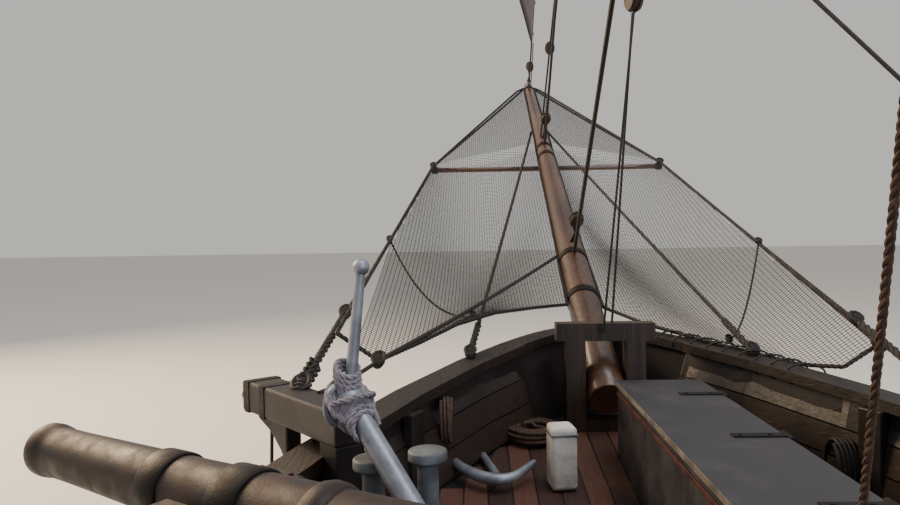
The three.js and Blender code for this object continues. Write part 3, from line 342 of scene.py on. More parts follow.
finishes = {
    hullSides: ["hull"],
    hullPaint: pair("bulwark") + pair("cathead"),
    railOak: pair("cap_rail"),
    darkOakX: ["keel_and_stem", *pair("wale"), *pair("gun_carriage"), "cargo_hatch", "hatch_lid",
               "wheel_stand", "rudder", "stern_tube"],
    darkOakZ: ["bowsprit_bitts", "windlass_frame", "cabin_door", "deckhouse_door", "quarterdeck_ladder"],
    darkOakY: ["fore_top", "main_top"],
    cabinOak: ["stern_cabin"],
    housePine: ["deckhouse"],
    sparPineX: ["bowsprit", "main_boom", "main_gaff", *pair("bench"), "quarterdeck_rail"],
    sparPineY: ["net_spreader", "fore_yard", "topsail_yard", "steering_wheel"],
    sparPineZ: ["foremast", "mainmast"],
    bronze: ["propeller"],
    netTwine: pair("bow_net"),
    silverPaint: ["stowed_anchor"],
    greyPaint: pair("mooring_bitts"),
    lockerPaint: ["foredeck_locker", "locker_lid"],
    rustyIron: pair("gun_barrel"),
    blackIron: ["windlass_drum"],
    tannedCanvas: ["fore_course_furled", "fore_topsail_furled", "jib_outer", "jib_inner", "main_sail"],
    tarredRope: ["stay_outer", "stay_middle", "stay_inner"],
    gilt: ["stern_lantern"],
    flagCloth: ["ensign"],
}
for finish, names in finishes.items():
    for name in names:
        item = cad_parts[name]
        item.data.materials.clear()
        item.data.materials.append(finish)


# Mesh helpers
def newPile():
    return {"points": [], "faces": [], "uvs": [], "marks": []}


def addShape(pile, points, faces, uvs=None, mark=0):
    start = len(pile["points"])
    pile["points"].extend([tuple(p) for p in points])
    for n, face in enumerate(faces):
        pile["faces"].append([start + i for i in face])
        pile["uvs"].append(uvs[n] if uvs else [(0.0, 0.0)] * len(face))
        pile["marks"].append(mark)


def makePiece(name, pile, coats, body="ship", smooth=35, bevel=0.0, node=None):
    mesh = bpy.data.meshes.new(name)
    mesh.from_pydata(pile["points"], [], pile["faces"])
    flat = [value for face in pile["uvs"] for corner in face for value in corner]
    mesh.uv_layers.new(name="UVMap").data.foreach_set("uv", flat)
    mesh.polygons.foreach_set("material_index", pile["marks"])
    for coat in coats if isinstance(coats, list) else [coats]:
        mesh.materials.append(coat)
    mesh.validate()
    form = bmesh.new()
    form.from_mesh(mesh)
    if all(edge.is_manifold for edge in form.edges):
        bmesh.ops.recalc_face_normals(form, faces=form.faces)
        form.to_mesh(mesh)
    form.free()
    if smooth:
        mesh.shade_smooth()
        mesh.set_sharp_from_angle(angle=math.radians(smooth))
    piece = bpy.data.objects.new(name, mesh)
    bpy.context.scene.collection.objects.link(piece)
    if bevel:
        edge = piece.modifiers.new("worn_edges", "BEVEL")
        edge.width = bevel
        edge.segments = 2
        edge.limit_method = "ANGLE"
        edge.angle_limit = math.radians(40)
    if body:
        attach(piece, body)
    if node:
        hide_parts(node)
    return piece


def frameAlong(direction, near=up):
    # a turn whose Z runs along the direction
    z = Vector(direction).normalized()
    if abs(z.dot(near)) > 0.99:
        near = forward
    x = near.cross(z).normalized()
    return Matrix((x, z.cross(x), z)).transposed()


def addBox(pile, centre, size, turn=None, mark=0):
    turn = turn or Matrix.Identity(3)
    half = Vector(size) / 2
    points = [Vector(centre) + turn @ Vector((x * half.x, y * half.y, z * half.z))
              for z in (-1, 1) for y in (-1, 1) for x in (-1, 1)]
    faces = [(0, 2, 3, 1), (4, 5, 7, 6), (0, 1, 5, 4), (2, 6, 7, 3), (0, 4, 6, 2), (1, 3, 7, 5)]
    long = max(range(3), key=lambda i: size[i])
    along = [(0.0, 0.0), (size[long], 0.0), (size[long], 0.9), (0.0, 0.9)]
    addShape(pile, points, faces, [along] * 6, mark)


def addBeam(pile, start, end, width, depth, mark=0, near=up):
    start, end = Vector(start), Vector(end)
    turn = frameAlong(end - start, near)
    addBox(pile, (start + end) / 2, (width, depth, (end - start).length), turn, mark)


def addLathe(pile, profile, place, turn=None, sides=24, mark=0):
    # profile rows are (distance along the axis, radius); the axis is Z of the turn
    turn = turn or Matrix.Identity(3)
    place = Vector(place)
    points, faces, uvs = [], [], []
    for along, radius in profile:
        for k in range(sides):
            a = 2 * math.pi * k / sides
            points.append(place + turn @ Vector((radius * math.cos(a), radius * math.sin(a), along)))
    for ring in range(len(profile) - 1):
        for k in range(sides):
            j = (k + 1) % sides
            a, b = ring * sides, (ring + 1) * sides
            faces.append((a + k, a + j, b + j, b + k))
            u0, u1 = profile[ring][0], profile[ring + 1][0]
            v0, v1 = k / sides, (k + 1) / sides
            uvs.append([(u0, v0), (u0, v1), (u1, v1), (u1, v0)])
    last = (len(profile) - 1) * sides
    if profile[0] == profile[-1]:
        # a closed section is a ring with an open middle
        points = points[:last]
        faces = [tuple(i % last for i in face) for face in faces]
    else:
        faces += [tuple(reversed(range(sides))), tuple(range(last, last + sides))]
        uvs += [[(0.0, 0.0)] * sides] * 2
    addShape(pile, points, faces, uvs, mark)


def addTube(pile, path, radius, sides=8, closed=False, mark=0):
    path = [Vector(p) for p in path]
    radii = radius if isinstance(radius, list) else [radius] * len(path)
    count = len(path)
    points, faces, uvs = [], [], []
    side, run = None, 0.0
    runs = []
    for i, p in enumerate(path):
        ahead = path[(i + 1) % count] if closed or i < count - 1 else p
        behind = path[i - 1] if closed or i else p
        along = (ahead - behind).normalized()
        if side is None:
            side = along.cross(up if abs(along.z) < 0.9 else forward).normalized()
        side = (side - along * side.dot(along)).normalized()
        other = along.cross(side)
        for k in range(sides):
            a = 2 * math.pi * k / sides
            points.append(p + (side * math.cos(a) + other * math.sin(a)) * radii[i])
        run += (p - path[i - 1]).length if i else 0.0
        runs.append(run)
    for i in range(count if closed else count - 1):
        a, b = i * sides, ((i + 1) % count) * sides
        for k in range(sides):
            j = (k + 1) % sides
            faces.append((a + k, a + j, b + j, b + k))
            u0, u1 = runs[i], runs[i + 1] if i + 1 < count else run
            uvs.append([(u0, k / sides), (u0, (k + 1) / sides), (u1, (k + 1) / sides), (u1, k / sides)])
    if not closed:
        last = (count - 1) * sides
        faces.append(tuple(reversed(range(sides))))
        faces.append(tuple(range(last, last + sides)))
        uvs += [[(0.0, 0.0)] * sides] * 2
    addShape(pile, points, faces, uvs, mark)


def circle(centre, across, along, steps, closing=0):
    # points of a ring or oval whose half-axes are the vectors across and along; closing=1 repeats the first
    turns = np.linspace(0, 2 * math.pi, steps + 1)[:steps + closing]
    return [Vector(centre) + across * math.cos(t) + along * math.sin(t) for t in turns]


def prismFaces(n):
    # two faces of n corners and the sides between them
    sides = [(k, (k + 1) % n, n + (k + 1) % n, n + k) for k in range(n)]
    return [tuple(reversed(range(n))), tuple(range(n, 2 * n))] + sides


def sweptFaces(columns, outward):
    # a four-sided bar through columns + 1 sections
    rings = [(4 * k + j, 4 * k + (j + 1) % 4, 4 * k + (j + 1) % 4 + 4, 4 * k + j + 4)
             for k in range(columns) for j in range(4)]
    ends = [(0, 1, 2, 3), tuple(4 * columns + j for j in (3, 2, 1, 0))]
    if outward:
        return rings + [end[::-1] for end in ends]
    return [face[::-1] for face in rings] + ends


def gridFaces(columns, rows):
    wide = columns + 1
    return [(j * wide + i, j * wide + i + 1, (j + 1) * wide + i + 1, (j + 1) * wide + i)
            for j in range(rows) for i in range(columns)]


def gridUvs(width, height, columns, rows):
    corners = ((0, 0), (1, 0), (1, 1), (0, 1))
    return [[(width * (i + a) / columns, height * (j + b) / rows) for a, b in corners]
            for j in range(rows) for i in range(columns)]


def quadArea(p):
    return ((p[1] - p[0]).cross(p[2] - p[0]).length + (p[2] - p[0]).cross(p[3] - p[0]).length) / 2


def sagging(start, end, drop, steps=10):
    start, end = Vector(start), Vector(end)
    shares = [k / steps for k in range(steps + 1)]
    return [start.lerp(end, t) - up * drop * 4 * t * (1 - t) for t in shares]


def smoothPath(points, steps=6):
    # a soft curve through the given points
    points = [Vector(p) for p in points]
    ends = [points[0] * 2 - points[1]] + points + [points[-1] * 2 - points[-2]]
    made = []
    for i in range(1, len(ends) - 2):
        a, b, c, d = ends[i - 1:i + 3]
        for k in range(steps):
            t = k / steps
            made.append(0.5 * (2 * b + (c - a) * t + (2 * a - 5 * b + 4 * c - d) * t * t
                               + (3 * b - a - 3 * c + d) * t ** 3))
    return made + [points[-1]]


# Geometry Nodes: ropes that follow paths, and copies of one model at marked spots
def newTree(name, inputs):
    tree = bpy.data.node_groups.new(name, "GeometryNodeTree")
    tree.interface.new_socket("Geometry", in_out="INPUT", socket_type="NodeSocketGeometry")
    tree.interface.new_socket("Geometry", in_out="OUTPUT", socket_type="NodeSocketGeometry")
    for label, kind in inputs:
        tree.interface.new_socket(label, in_out="INPUT", socket_type="NodeSocket" + kind)
    return tree, tree.nodes.new("NodeGroupInput").outputs, tree.nodes.new("NodeGroupOutput").inputs


def realizeAndCoat(tree, geometry, given, result):
    plain = addNode(tree, "GeometryNodeRealizeInstances", {"Geometry": geometry}).outputs[0]
    coated = addNode(tree, "GeometryNodeSetMaterial", {"Geometry": plain, "Material": given["Finish"]})
    tree.links.new(coated.outputs[0], result["Geometry"])
    return tree


def laidRopeTree():
    # three strands wound round each path
    tree, given, result = newTree("laid_rope_along_path", [("Rope radius", "Float"), ("Lay length", "Float"),
                                                           ("Step length", "Float"), ("Finish", "Material")])
    curve = addNode(tree, "GeometryNodeMeshToCurve", {"Mesh": given["Geometry"]}).outputs[0]
    even = addNode(tree, "GeometryNodeResampleCurve", {"Curve": curve, "Length": given["Step length"]},
                   mode="LENGTH").outputs[0]
    length = addNode(tree, "GeometryNodeSplineParameter").outputs["Length"]
    tangent = addNode(tree, "GeometryNodeInputTangent").outputs[0]
    normal = addNode(tree, "GeometryNodeInputNormal").outputs[0]
    across = calcVector(tree, "CROSS_PRODUCT", {0: tangent, 1: normal})
    turns = calc(tree, "DIVIDE", length, given["Lay length"])
    angle = calc(tree, "MULTIPLY", turns, 2 * math.pi)
    away = calc(tree, "MULTIPLY", given["Rope radius"], 0.52)
    thick = calc(tree, "MULTIPLY", given["Rope radius"], 0.54)
    ring = addNode(tree, "GeometryNodeCurvePrimitiveCircle", {"Resolution": 6, "Radius": thick}).outputs[0]
    joined = tree.nodes.new("GeometryNodeJoinGeometry")
    for strand in range(3):
        phase = calc(tree, "ADD", angle, strand * 2 * math.pi / 3)
        cosine = calc(tree, "COSINE", phase)
        sine = calc(tree, "SINE", phase)
        one = calcVector(tree, "SCALE", {0: normal, "Scale": cosine})
        two = calcVector(tree, "SCALE", {0: across, "Scale": sine})
        both = calcVector(tree, "ADD", {0: one, 1: two})
        shift = calcVector(tree, "SCALE", {0: both, "Scale": away})
        wound = addNode(tree, "GeometryNodeSetPosition", {"Geometry": even, "Offset": shift}).outputs[0]
        tube = addNode(tree, "GeometryNodeCurveToMesh", {"Curve": wound, "Profile Curve": ring,
                                                         "Fill Caps": True}).outputs[0]
        tree.links.new(tube, joined.inputs[0])
    return realizeAndCoat(tree, joined.outputs[0], given, result)


def roundRopeTree():
    # a plain round line along each path, its radius carried by the path's points
    tree, given, result = newTree("round_line_along_path", [("Thickness", "Float"), ("Sides", "Int"),
                                                            ("Finish", "Material")])
    curve = addNode(tree, "GeometryNodeMeshToCurve", {"Mesh": given["Geometry"]}).outputs[0]
    own = addNode(tree, "GeometryNodeInputNamedAttribute", {"Name": "line_radius"},
                  data_type="FLOAT").outputs[0]
    thick = calc(tree, "MULTIPLY", own, given["Thickness"])
    ring = addNode(tree, "GeometryNodeCurvePrimitiveCircle", {"Resolution": given["Sides"], "Radius": 1.0})
    tube = addNode(tree, "GeometryNodeCurveToMesh", {"Curve": curve, "Profile Curve": ring.outputs[0],
                                                     "Scale": thick, "Fill Caps": True}).outputs[0]
    return realizeAndCoat(tree, tube, given, result)


def copiesTree():
    # one model at each point, turned and sized by the point's own attributes
    tree, given, result = newTree("copies_at_spots", [("Model", "Object"), ("Size", "Float"),
                                                      ("Finish", "Material")])
    model = addNode(tree, "GeometryNodeObjectInfo", {"Object": given["Model"]}).outputs["Geometry"]
    turned = addNode(tree, "GeometryNodeInputNamedAttribute", {"Name": "spot_turn"}, data_type="FLOAT_VECTOR")
    spin = addNode(tree, "FunctionNodeEulerToRotation", {"Euler": turned.outputs[0]}).outputs[0]
    own = addNode(tree, "GeometryNodeInputNamedAttribute", {"Name": "spot_size"}, data_type="FLOAT_VECTOR")
    sized = calcVector(tree, "SCALE", {0: own.outputs[0], "Scale": given["Size"]})
    placed = addNode(tree, "GeometryNodeInstanceOnPoints", {"Points": given["Geometry"], "Instance": model,
                                                            "Rotation": spin, "Scale": sized})
    return realizeAndCoat(tree, placed.outputs[0], given, result)


trees = {"laid": laidRopeTree(), "round": roundRopeTree(), "copies": copiesTree()}


def growFrom(name, base, tree, values, coat, body):
    # runs a tree on a mesh and keeps the result as a plain mesh on its body
    seed = bpy.data.objects.new(name + "_seed", base)
    bpy.context.scene.collection.objects.link(seed)
    grown = seed.modifiers.new("grown", "NODES")
    grown.node_group = tree
    sockets = {item.name: item.identifier for item in tree.interface.items_tree if item.in_out == "INPUT"}
    for label, value in {**values, "Finish": coat}.items():
        grown[sockets[label]] = value
    bpy.context.view_layer.update()
    seen = bpy.context.evaluated_depsgraph_get()
    mesh = bpy.data.meshes.new_from_object(seed.evaluated_get(seen))
    bpy.data.objects.remove(seed)
    mesh.name = name
    mesh.shade_smooth()
    mesh.set_sharp_from_angle(angle=math.radians(50))
    piece = bpy.data.objects.new(name, mesh)
    bpy.context.scene.collection.objects.link(piece)
    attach(piece, body)
    return piece


def pathMesh(name, paths, radii=None):
    points, edges, own = [], [], []
    for n, path in enumerate(paths):
        start = len(points)
        points += [tuple(p) for p in path]
        edges += [(start + i, start + i + 1) for i in range(len(path) - 1)]
        own += [radii[n] if radii else 0.01] * len(path)
    mesh = bpy.data.meshes.new(name)
    mesh.from_pydata(points, edges, [])
    mesh.attributes.new("line_radius", "FLOAT", "POINT").data.foreach_set("value", own)
    return mesh


def laidRopes(name, paths, radius, coat, body="ship", coarse=1.0):
    values = {"Rope radius": radius, "Lay length": radius * 7, "Step length": radius * 1.1 * coarse}
    return growFrom(name, pathMesh(name, paths), trees["laid"], values, coat, body)


def lines(name, rows, coat, body="ship", sides=5):
    # rows are (path, radius)
    mesh = pathMesh(name, [path for path, radius in rows], [radius for path, radius in rows])
    return growFrom(name, mesh, trees["round"], {"Thickness": 1.0, "Sides": sides}, coat, body)


def copies(name, pile, spots, coat, body="ship"):
    # spots are (place, turn, size); the model is drawn round its own origin
    mesh = bpy.data.meshes.new(name)
    mesh.from_pydata([tuple(place) for place, turn, size in spots], [], [])
    turns = [value for place, turn, size in spots for value in turn.to_euler()]
    sizes = [value for place, turn, size in spots for value in (size, size, size)]
    mesh.attributes.new("spot_turn", "FLOAT_VECTOR", "POINT").data.foreach_set("vector", turns)
    mesh.attributes.new("spot_size", "FLOAT_VECTOR", "POINT").data.foreach_set("vector", sizes)
    model = makePiece(name + "_model", pile, coat, body=None)
    piece = growFrom(name, mesh, trees["copies"], {"Model": model, "Size": 1.0}, coat, body)
    bpy.data.objects.remove(model)
    return piece


def surfaceOf(*names):
    points, faces = [], []
    for name in names:
        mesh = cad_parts[name].data
        start = len(points)
        points += [tuple(v.co) for v in mesh.vertices]
        faces += [[start + i for i in face.vertices] for face in mesh.polygons]
    return BVHTree.FromPolygons(points, faces)


# Hull form, with the CAD source's numbers in metres
hull = {
    "stem": 8.86, "length": 17.66, "keelHalf": 0.08,
    # bow, middle and stern height, X at stem and stern, half-beam, fullness, stern half-breadth
    "deckEdge": (1.83, 1.3, 1.56, 8.86, -8.8, 2.4, 1.371, 1.8),
    "waleHigh": (1.59, 1.08, 1.34, 8.765, -8.755, 2.425, 1.33, 1.76),
    "waleLow": (1.36, 0.87, 1.12, 8.675, -8.71, 2.43, 1.29, 1.69),
    "topside": (0.8, 0.44, 0.6, 8.43, -8.61, 2.4, 1.2, 1.28),
    "waterline": (0.04, -0.06, 0.06, 8.02, -8.48, 2.33, 1.08, 0.42),
    "bilge": (-0.62, -0.64, -0.52, 7.47, -7.0, 2.08, 0.96, 0.08),
    "lowBilge": (-1.01, -1.12, -0.88, 6.92, -7.0, 1.44, 0.86, 0.08),
    "garboard": (-1.24, -1.4, -1.24, 6.4, -7.0, 0.62, 0.8, 0.08),
}


def entrance(distance, fullness):
    return (1 - (1 - min(max(distance, 0) / 9, 1)) ** 2.568) ** (1 / fullness)


def hullPoint(level, share):
    bow, middle, stern, stemX, sternX, half, full, aft = hull[level]
    z = middle + (bow - middle) * max(1 - 2 * share, 0) ** 2 + (stern - middle) * max(2 * share - 1, 0) ** 2
    fine = hull["keelHalf"] + (half - hull["keelHalf"]) * entrance(share * hull["length"], full)
    y = fine + (aft - fine) * max((share - 0.52) / 0.48, 0) ** 2.2
    return Vector((stemX + (sternX - stemX) * share, y, z))


stations = [8.86, 8.6, 8.25, 7.75, 7.1, 6.3, 5.35, 4.25, 3.0, 1.5, 0.0, -1.7, -3.6, -5.4, -7.1, -8.8]
edgePoints = [hullPoint("deckEdge", (hull["stem"] - x) / hull["length"]) for x in stations]


def deckAt(x):
    return float(np.interp(-x, [-s for s in stations], [p.z for p in edgePoints]))


def deckHalf(x):
    return float(np.interp(-x, [-s for s in stations], [p.y for p in edgePoints]))


def railPoint(x):
    ease = min(max((x - 2.6) / 1.3, 0), 1)
    rise = 0.76 + (0.48 - 0.76) * ease * ease * (3 - 2 * ease)
    y = max(deckHalf(x), 0.08 + 2.32 * entrance(9 - x, 1.371))
    return Vector((x, min(y, 2.4) if y > deckHalf(x) else y, deckAt(x) + rise))


# Floor and lights
studio = {"floorSize": 240.0, "floorColour": "#d8d4cd", "skyColour": "#e6e4e1", "skyStrength": 0.75}


def makeStudio():
    pile = newPile()
    half, count = studio["floorSize"] / 2, 24
    points = [(-half + 2 * half * i / count, -half + 2 * half * j / count, 0.0)
              for j in range(count + 1) for i in range(count + 1)]
    addShape(pile, points, gridFaces(count, count))
    floorCoat, tree, skin = newFinish("pale_studio_floor", Roughness=0.85)
    skin.inputs["Base Color"].default_value = linear(studio["floorColour"])
    floor = makePiece("studio_floor", pile, floorCoat, body=None, smooth=0)
    world = bpy.data.worlds.new("studio_sky")
    world.use_nodes = True
    sky = world.node_tree.nodes["Background"]
    sky.inputs["Color"].default_value = linear(studio["skyColour"])
    sky.inputs["Strength"].default_value = studio["skyStrength"]
    bpy.context.scene.world = world
    # name, place, aim, size, power, colour: a warm key from the port bow, a cool fill from starboard aft
    lamps = [("port_bow_key", (16, 15, 11), (4, 0, 2.5), 9, 5200, "#ffdfb8"),
             ("overhead_soft", (2, -4, 24), (2, 0, 2), 16, 4200, "#ffffff"),
             ("quarter_fill", (-16, -13, 10), (-2, 0, 3), 12, 3000, "#dfe8ff")]
    for name, place, aim, size, power, colour in lamps:
        data = bpy.data.lights.new(name, "AREA")
        data.size = size
        data.energy = power
        data.color = linear(colour)[:3]
        lamp = bpy.data.objects.new(name, data)
        lamp.matrix_world = Matrix.Translation(place) @ frameAlong(Vector(place) - Vector(aim)).to_4x4()
        bpy.context.scene.collection.objects.link(lamp)


makeStudio()
print("studio made")


# Hull planking: strakes a few millimetres proud, over the CAD's own surface
strakes = {"proud": 0.007, "gap": 0.003, "rows": [
    # levels, count of strakes, share of the length where they start
    ("deckEdge", "waleHigh", 2, 0.0), ("waleHigh", "waleLow", 2, 0.906), ("waleLow", "topside", 4, 0.0),
    ("topside", "waterline", 4, 0.0), ("waterline", "bilge", 4, 0.0), ("bilge", "lowBilge", 4, 0.0),
    ("lowBilge", "garboard", 4, 0.0)]}


def addStrake(pile, low, high, number, outwardGuess, surface, proud, gap, mark=0, between=()):
    # low and high are matching paths on the surface; between holds shares of the width that follow it too
    rows = []
    for a, b in zip(low, high):
        across = b - a
        if across.length < 4 * gap:
            rows.append(None)
            continue
        trim = across.normalized() * gap / 2
        section = []
        inner = [(a.lerp(b, share), proud) for share in between]
        for p, lift in [(a + trim, -0.002), (a + trim * 3, proud), *inner, (b - trim * 3, proud),
                        (b - trim, -0.002)]:
            spot, normal, index, distance = surface.find_nearest(p)
            if normal.dot(outwardGuess(p)) < 0:
                normal = -normal
            section.append(spot + normal * lift)
        rows.append(section)
    run = 0.0
    for i in range(len(rows) - 1):
        if rows[i] is None or rows[i + 1] is None:
            continue
        step = (rows[i + 1][1] - rows[i][1]).length
        for k in range(len(rows[i]) - 1):
            face = [rows[i][k], rows[i][k + 1], rows[i + 1][k + 1], rows[i + 1][k]]
            normal = (face[1] - face[0]).cross(face[3] - face[0])
            uv = [(run, number + 0.5)] * 2 + [(run + step, number + 0.5)] * 2
            if normal.dot(outwardGuess(face[0])) < 0:
                face.reverse()
                uv = uv[::-1]
            addShape(pile, face, [(0, 1, 2, 3)], [uv], mark)
        run += step


def makeStrakes():
    surface = surfaceOf("hull")
    shares = np.unique(np.concatenate([[(hull["stem"] - x) / hull["length"] for x in stations],
                                       np.linspace(0.006, 0.999, 80)]))
    shares = [s for s in shares if s > 0.004]
    for side, label in shipSides:
        pile = newPile()
        number = 3 if side > 0 else 60
        for upper, lower, count, first in strakes["rows"]:
            used = [s for s in shares if s >= first]
            for k in range(count):
                high = [hullPoint(upper, s).lerp(hullPoint(lower, s), k / count) for s in used]
                low = [hullPoint(upper, s).lerp(hullPoint(lower, s), (k + 1) / count) for s in used]
                if side < 0:
                    high = [Vector((p.x, -p.y, p.z)) for p in high]
                    low = [Vector((p.x, -p.y, p.z)) for p in low]
                under = upper in ("waterline", "bilge", "lowBilge")
                addStrake(pile, low, high, number, lambda p: Vector((0.25, side, -0.1)), surface,
                          strakes["proud"], strakes["gap"], 1 if under else 0, between=(0.33, 0.67))
                number += 1
        makePiece("hull_strakes_" + label, pile, [strakePaint, bottomPaint], smooth=30)


makeStrakes()


# Boards across the transom under the stern windows
def makeTransomBoards():
    surface = surfaceOf("hull")
    pile = newPile()
    number = 400
    for upper, lower, count in (("deckEdge", "waleHigh", 2), ("waleHigh", "waleLow", 2),
                                ("waleLow", "topside", 4), ("topside", "waterline", 4)):
        high, low = hullPoint(upper, 1), hullPoint(lower, 1)
        for k in range(count):
            edges = []
            for share in ((k + 1) / count, k / count):
                p = high.lerp(low, share)
                edges.append([Vector((p.x, (p.y - 0.012) * t, p.z)) for t in np.linspace(-1, 1, 9)])
            addStrake(pile, *edges, number, lambda p: Vector((-1, 0, -0.1)), surface, 0.008, 0.004)
            number += 1
    makePiece("transom_boards", pile, strakePaint, smooth=30)


makeTransomBoards()


# Bulwark planking inside and out, and the timberheads inside
def makeBulwarkPlanks():
    marks = [8.6, 8.25, 7.75, 7.1, 6.3, 5.35, 4.25, 3.0, 1.5, 0.0, -1.7, -3.56]
    pile, posts = newPile(), newPile()
    number = 200
    for side in (1, -1):
        surface = surfaceOf("bulwark_port" if side > 0 else "bulwark_starboard")
        xs = sorted(set(marks + list(np.linspace(8.5, -3.5, 90))), reverse=True)
        for face in (1, -1):
            inset, proud = (0.0, 0.006) if face > 0 else (0.07, 0.014)
            for k in range(3):
                low, high = [], []
                for x in xs:
                    rail = railPoint(x)
                    foot = Vector((x, (deckHalf(x) - inset) * side, deckAt(x) + 0.012))
                    head = Vector((x, (rail.y - inset) * side, rail.z - 0.055))
                    low.append(foot.lerp(head, k / 3))
                    high.append(foot.lerp(head, (k + 1) / 3))
                addStrake(pile, low, high, number, lambda p: Vector((0.3, side, 0)) * face, surface, proud,
                          0.003)
                number += 1
        for x in np.arange(7.6, -3.4, -0.85):
            rail = railPoint(x)
            slope = math.atan2(railPoint(x + 0.1).y - railPoint(x - 0.1).y, 0.2)
            foot = Vector((x, (deckHalf(x) - 0.1) * side, deckAt(x)))
            head = Vector((x, (rail.y - 0.1) * side, rail.z - 0.05))
            turn = Matrix.Rotation(slope * side, 3, "Z")
            addBox(posts, (foot + head) / 2, (0.11, 0.05, (head - foot).length), turn)
    makePiece("bulwark_planks", pile, strakePaint, smooth=30)
    makePiece("bulwark_timberheads", posts, hullPaint, smooth=0, bevel=0.006)


makeBulwarkPlanks()


# Deck boards laid with butts, on the main deck and the quarterdeck
deckBoards = {"width": 0.115, "gap": 0.005, "proud": 0.005, "length": 3.4}


def makeDeckBoards(name, surfaceNode, fore, aft, halfAt, coat):
    surface = surfaceOf(surfaceNode)
    pile = newPile()
    width, gap, proud = deckBoards["width"], deckBoards["gap"], deckBoards["proud"]
    count = int(2.4 / width) + 1
    number = 0
    rng = random.Random(7)
    for k in range(-count, count):
        inner, outer = k * width + gap / 2, (k + 1) * width - gap / 2
        start = fore - rng.uniform(0.4, deckBoards["length"])
        cuts = [fore]
        while start > aft + 0.4:
            cuts.append(start)
            start -= deckBoards["length"] * rng.uniform(0.85, 1.1)
        cuts.append(aft)
        for head, foot in zip(cuts[:-1], cuts[1:]):
            number += 1
            xs = [head - 0.002] + [s for s in stations if foot + 0.02 < s < head - 0.02]
            extra = [x for x in np.arange(8.6, -8.8, -0.2) if foot + 0.05 < x < head - 0.05]
            xs = sorted(set(xs + (extra if head > 3 or abs(k) > 8 else [])), reverse=True) + [foot + 0.002]
            rows = []
            for x in xs:
                limit = halfAt(x)
                a, b = max(inner, -limit), min(outer, limit)
                if b - a < 0.015:
                    rows.append(None)
                    continue
                hit = surface.ray_cast(Vector((x, (a + b) / 2, 7)), -up)
                if hit[0] is None:
                    rows.append(None)
                    continue
                z = hit[0].z
                rows.append([Vector((x, a, z - 0.002)), Vector((x, a + 0.002, z + proud)),
                             Vector((x, b - 0.002, z + proud)), Vector((x, b, z - 0.002))])
            for i in range(len(rows) - 1):
                if rows[i] is None or rows[i + 1] is None:
                    continue
                for j in range(3):
                    quad = [rows[i][j], rows[i + 1][j], rows[i + 1][j + 1], rows[i][j + 1]]
                    uv = [(quad[n].x, number + 0.5) for n in range(4)]
                    addShape(pile, quad, [(0, 1, 2, 3)], [uv])
    return makePiece(name, pile, coat, smooth=30)


makeDeckBoards("main_deck_boards", "hull", 8.62, -3.58,
               lambda x: min(deckHalf(x), railPoint(x).y) - 0.085, deckWood)
makeDeckBoards("quarterdeck_boards", "stern_cabin", -3.62, -8.78, lambda x: deckHalf(x) - 0.17, deckWood)
print("planking laid")


# Bow: bowsprit, spreader, guys and safety nets
bow = {"angle": math.radians(26.8), "length": 5.764, "foot": 0.11, "tip": 0.06, "heel": 0.69,
       "spreaderAlong": 3.117, "spreaderHalf": 1.169, "spreaderRadius": 0.024}
# the mesh is wider than a real safety net's, to stay within the triangle limit
net = {"mesh": 0.022, "twine": 0.002, "knee": 0.57, "sag": 0.33, "bolt": 0.012}


def spritAt(along, y=0.0, rise=0.0):
    return Vector((9 + along * math.cos(bow["angle"]), y, 2.3 + along * math.sin(bow["angle"]) + rise))


def spritRadius(along):
    return bow["foot"] + (bow["tip"] - bow["foot"]) * max(along, 0) / bow["length"]


spreaderZ = spritAt(bow["spreaderAlong"]).z - (spritRadius(bow["spreaderAlong"]) + bow["spreaderRadius"]
                                               + 0.0008) / math.cos(bow["angle"])
spreaderX = spritAt(bow["spreaderAlong"]).x


# the nets' after edges: laced along the rail to starboard, hanging free of it to port
netHems = {
    1: [(9.22, 0.12, 2.44), (8.95, 0.36, 2.45), (8.68, 0.62, 2.45), (8.4, 0.84, 2.42), (8.05, 1.03, 2.37),
        (7.74, 1.2, 2.335), (7.8, 1.41, 2.46)],
    -1: [(9.2, 0.12, 2.42), (8.86, 0.32, 2.35), (8.54, 0.6, 2.285), (8.36, 0.8, 2.245), (8.15, 0.96, 2.22),
         (8.0, 1.1, 2.235), (8.02, 1.283, 2.345)],
}


def netPoint(side, share, across):
    knee = net["knee"]
    along = 0.25 + (bow["length"] - 0.25) * share
    inner = spritAt(along, spritRadius(along) + 0.004)
    corner = Vector(netHems[side][-1])
    wing = Vector((spreaderX, bow["spreaderHalf"], spreaderZ + bow["spreaderRadius"] + 0.017))
    if share < knee:
        outer = corner.lerp(wing, share / knee)
    else:
        rest = (share - knee) / (1 - knee)
        outer = wing.lerp(spritAt(bow["length"]), rest)
        outer.y = bow["spreaderHalf"] + (bow["tip"] + 0.02 - bow["spreaderHalf"]) * rest
    p = inner.lerp(outer, across)
    sag = net["sag"] * math.sin(math.pi * min(share / knee, 1)) + 0.06
    if share < knee:
        p.z -= sag * math.sin(math.pi * across)
    else:
        p.z += 0.026 * (1 - across)
    hem = netHems[side]
    place = min(across * (len(hem) - 1), len(hem) - 1.001)
    k = int(place)
    edge = Vector(hem[k]).lerp(Vector(hem[k + 1]), place - k)
    ease = min(share / 0.3, 1)
    return edge.lerp(p, ease * ease * (3 - 2 * ease))


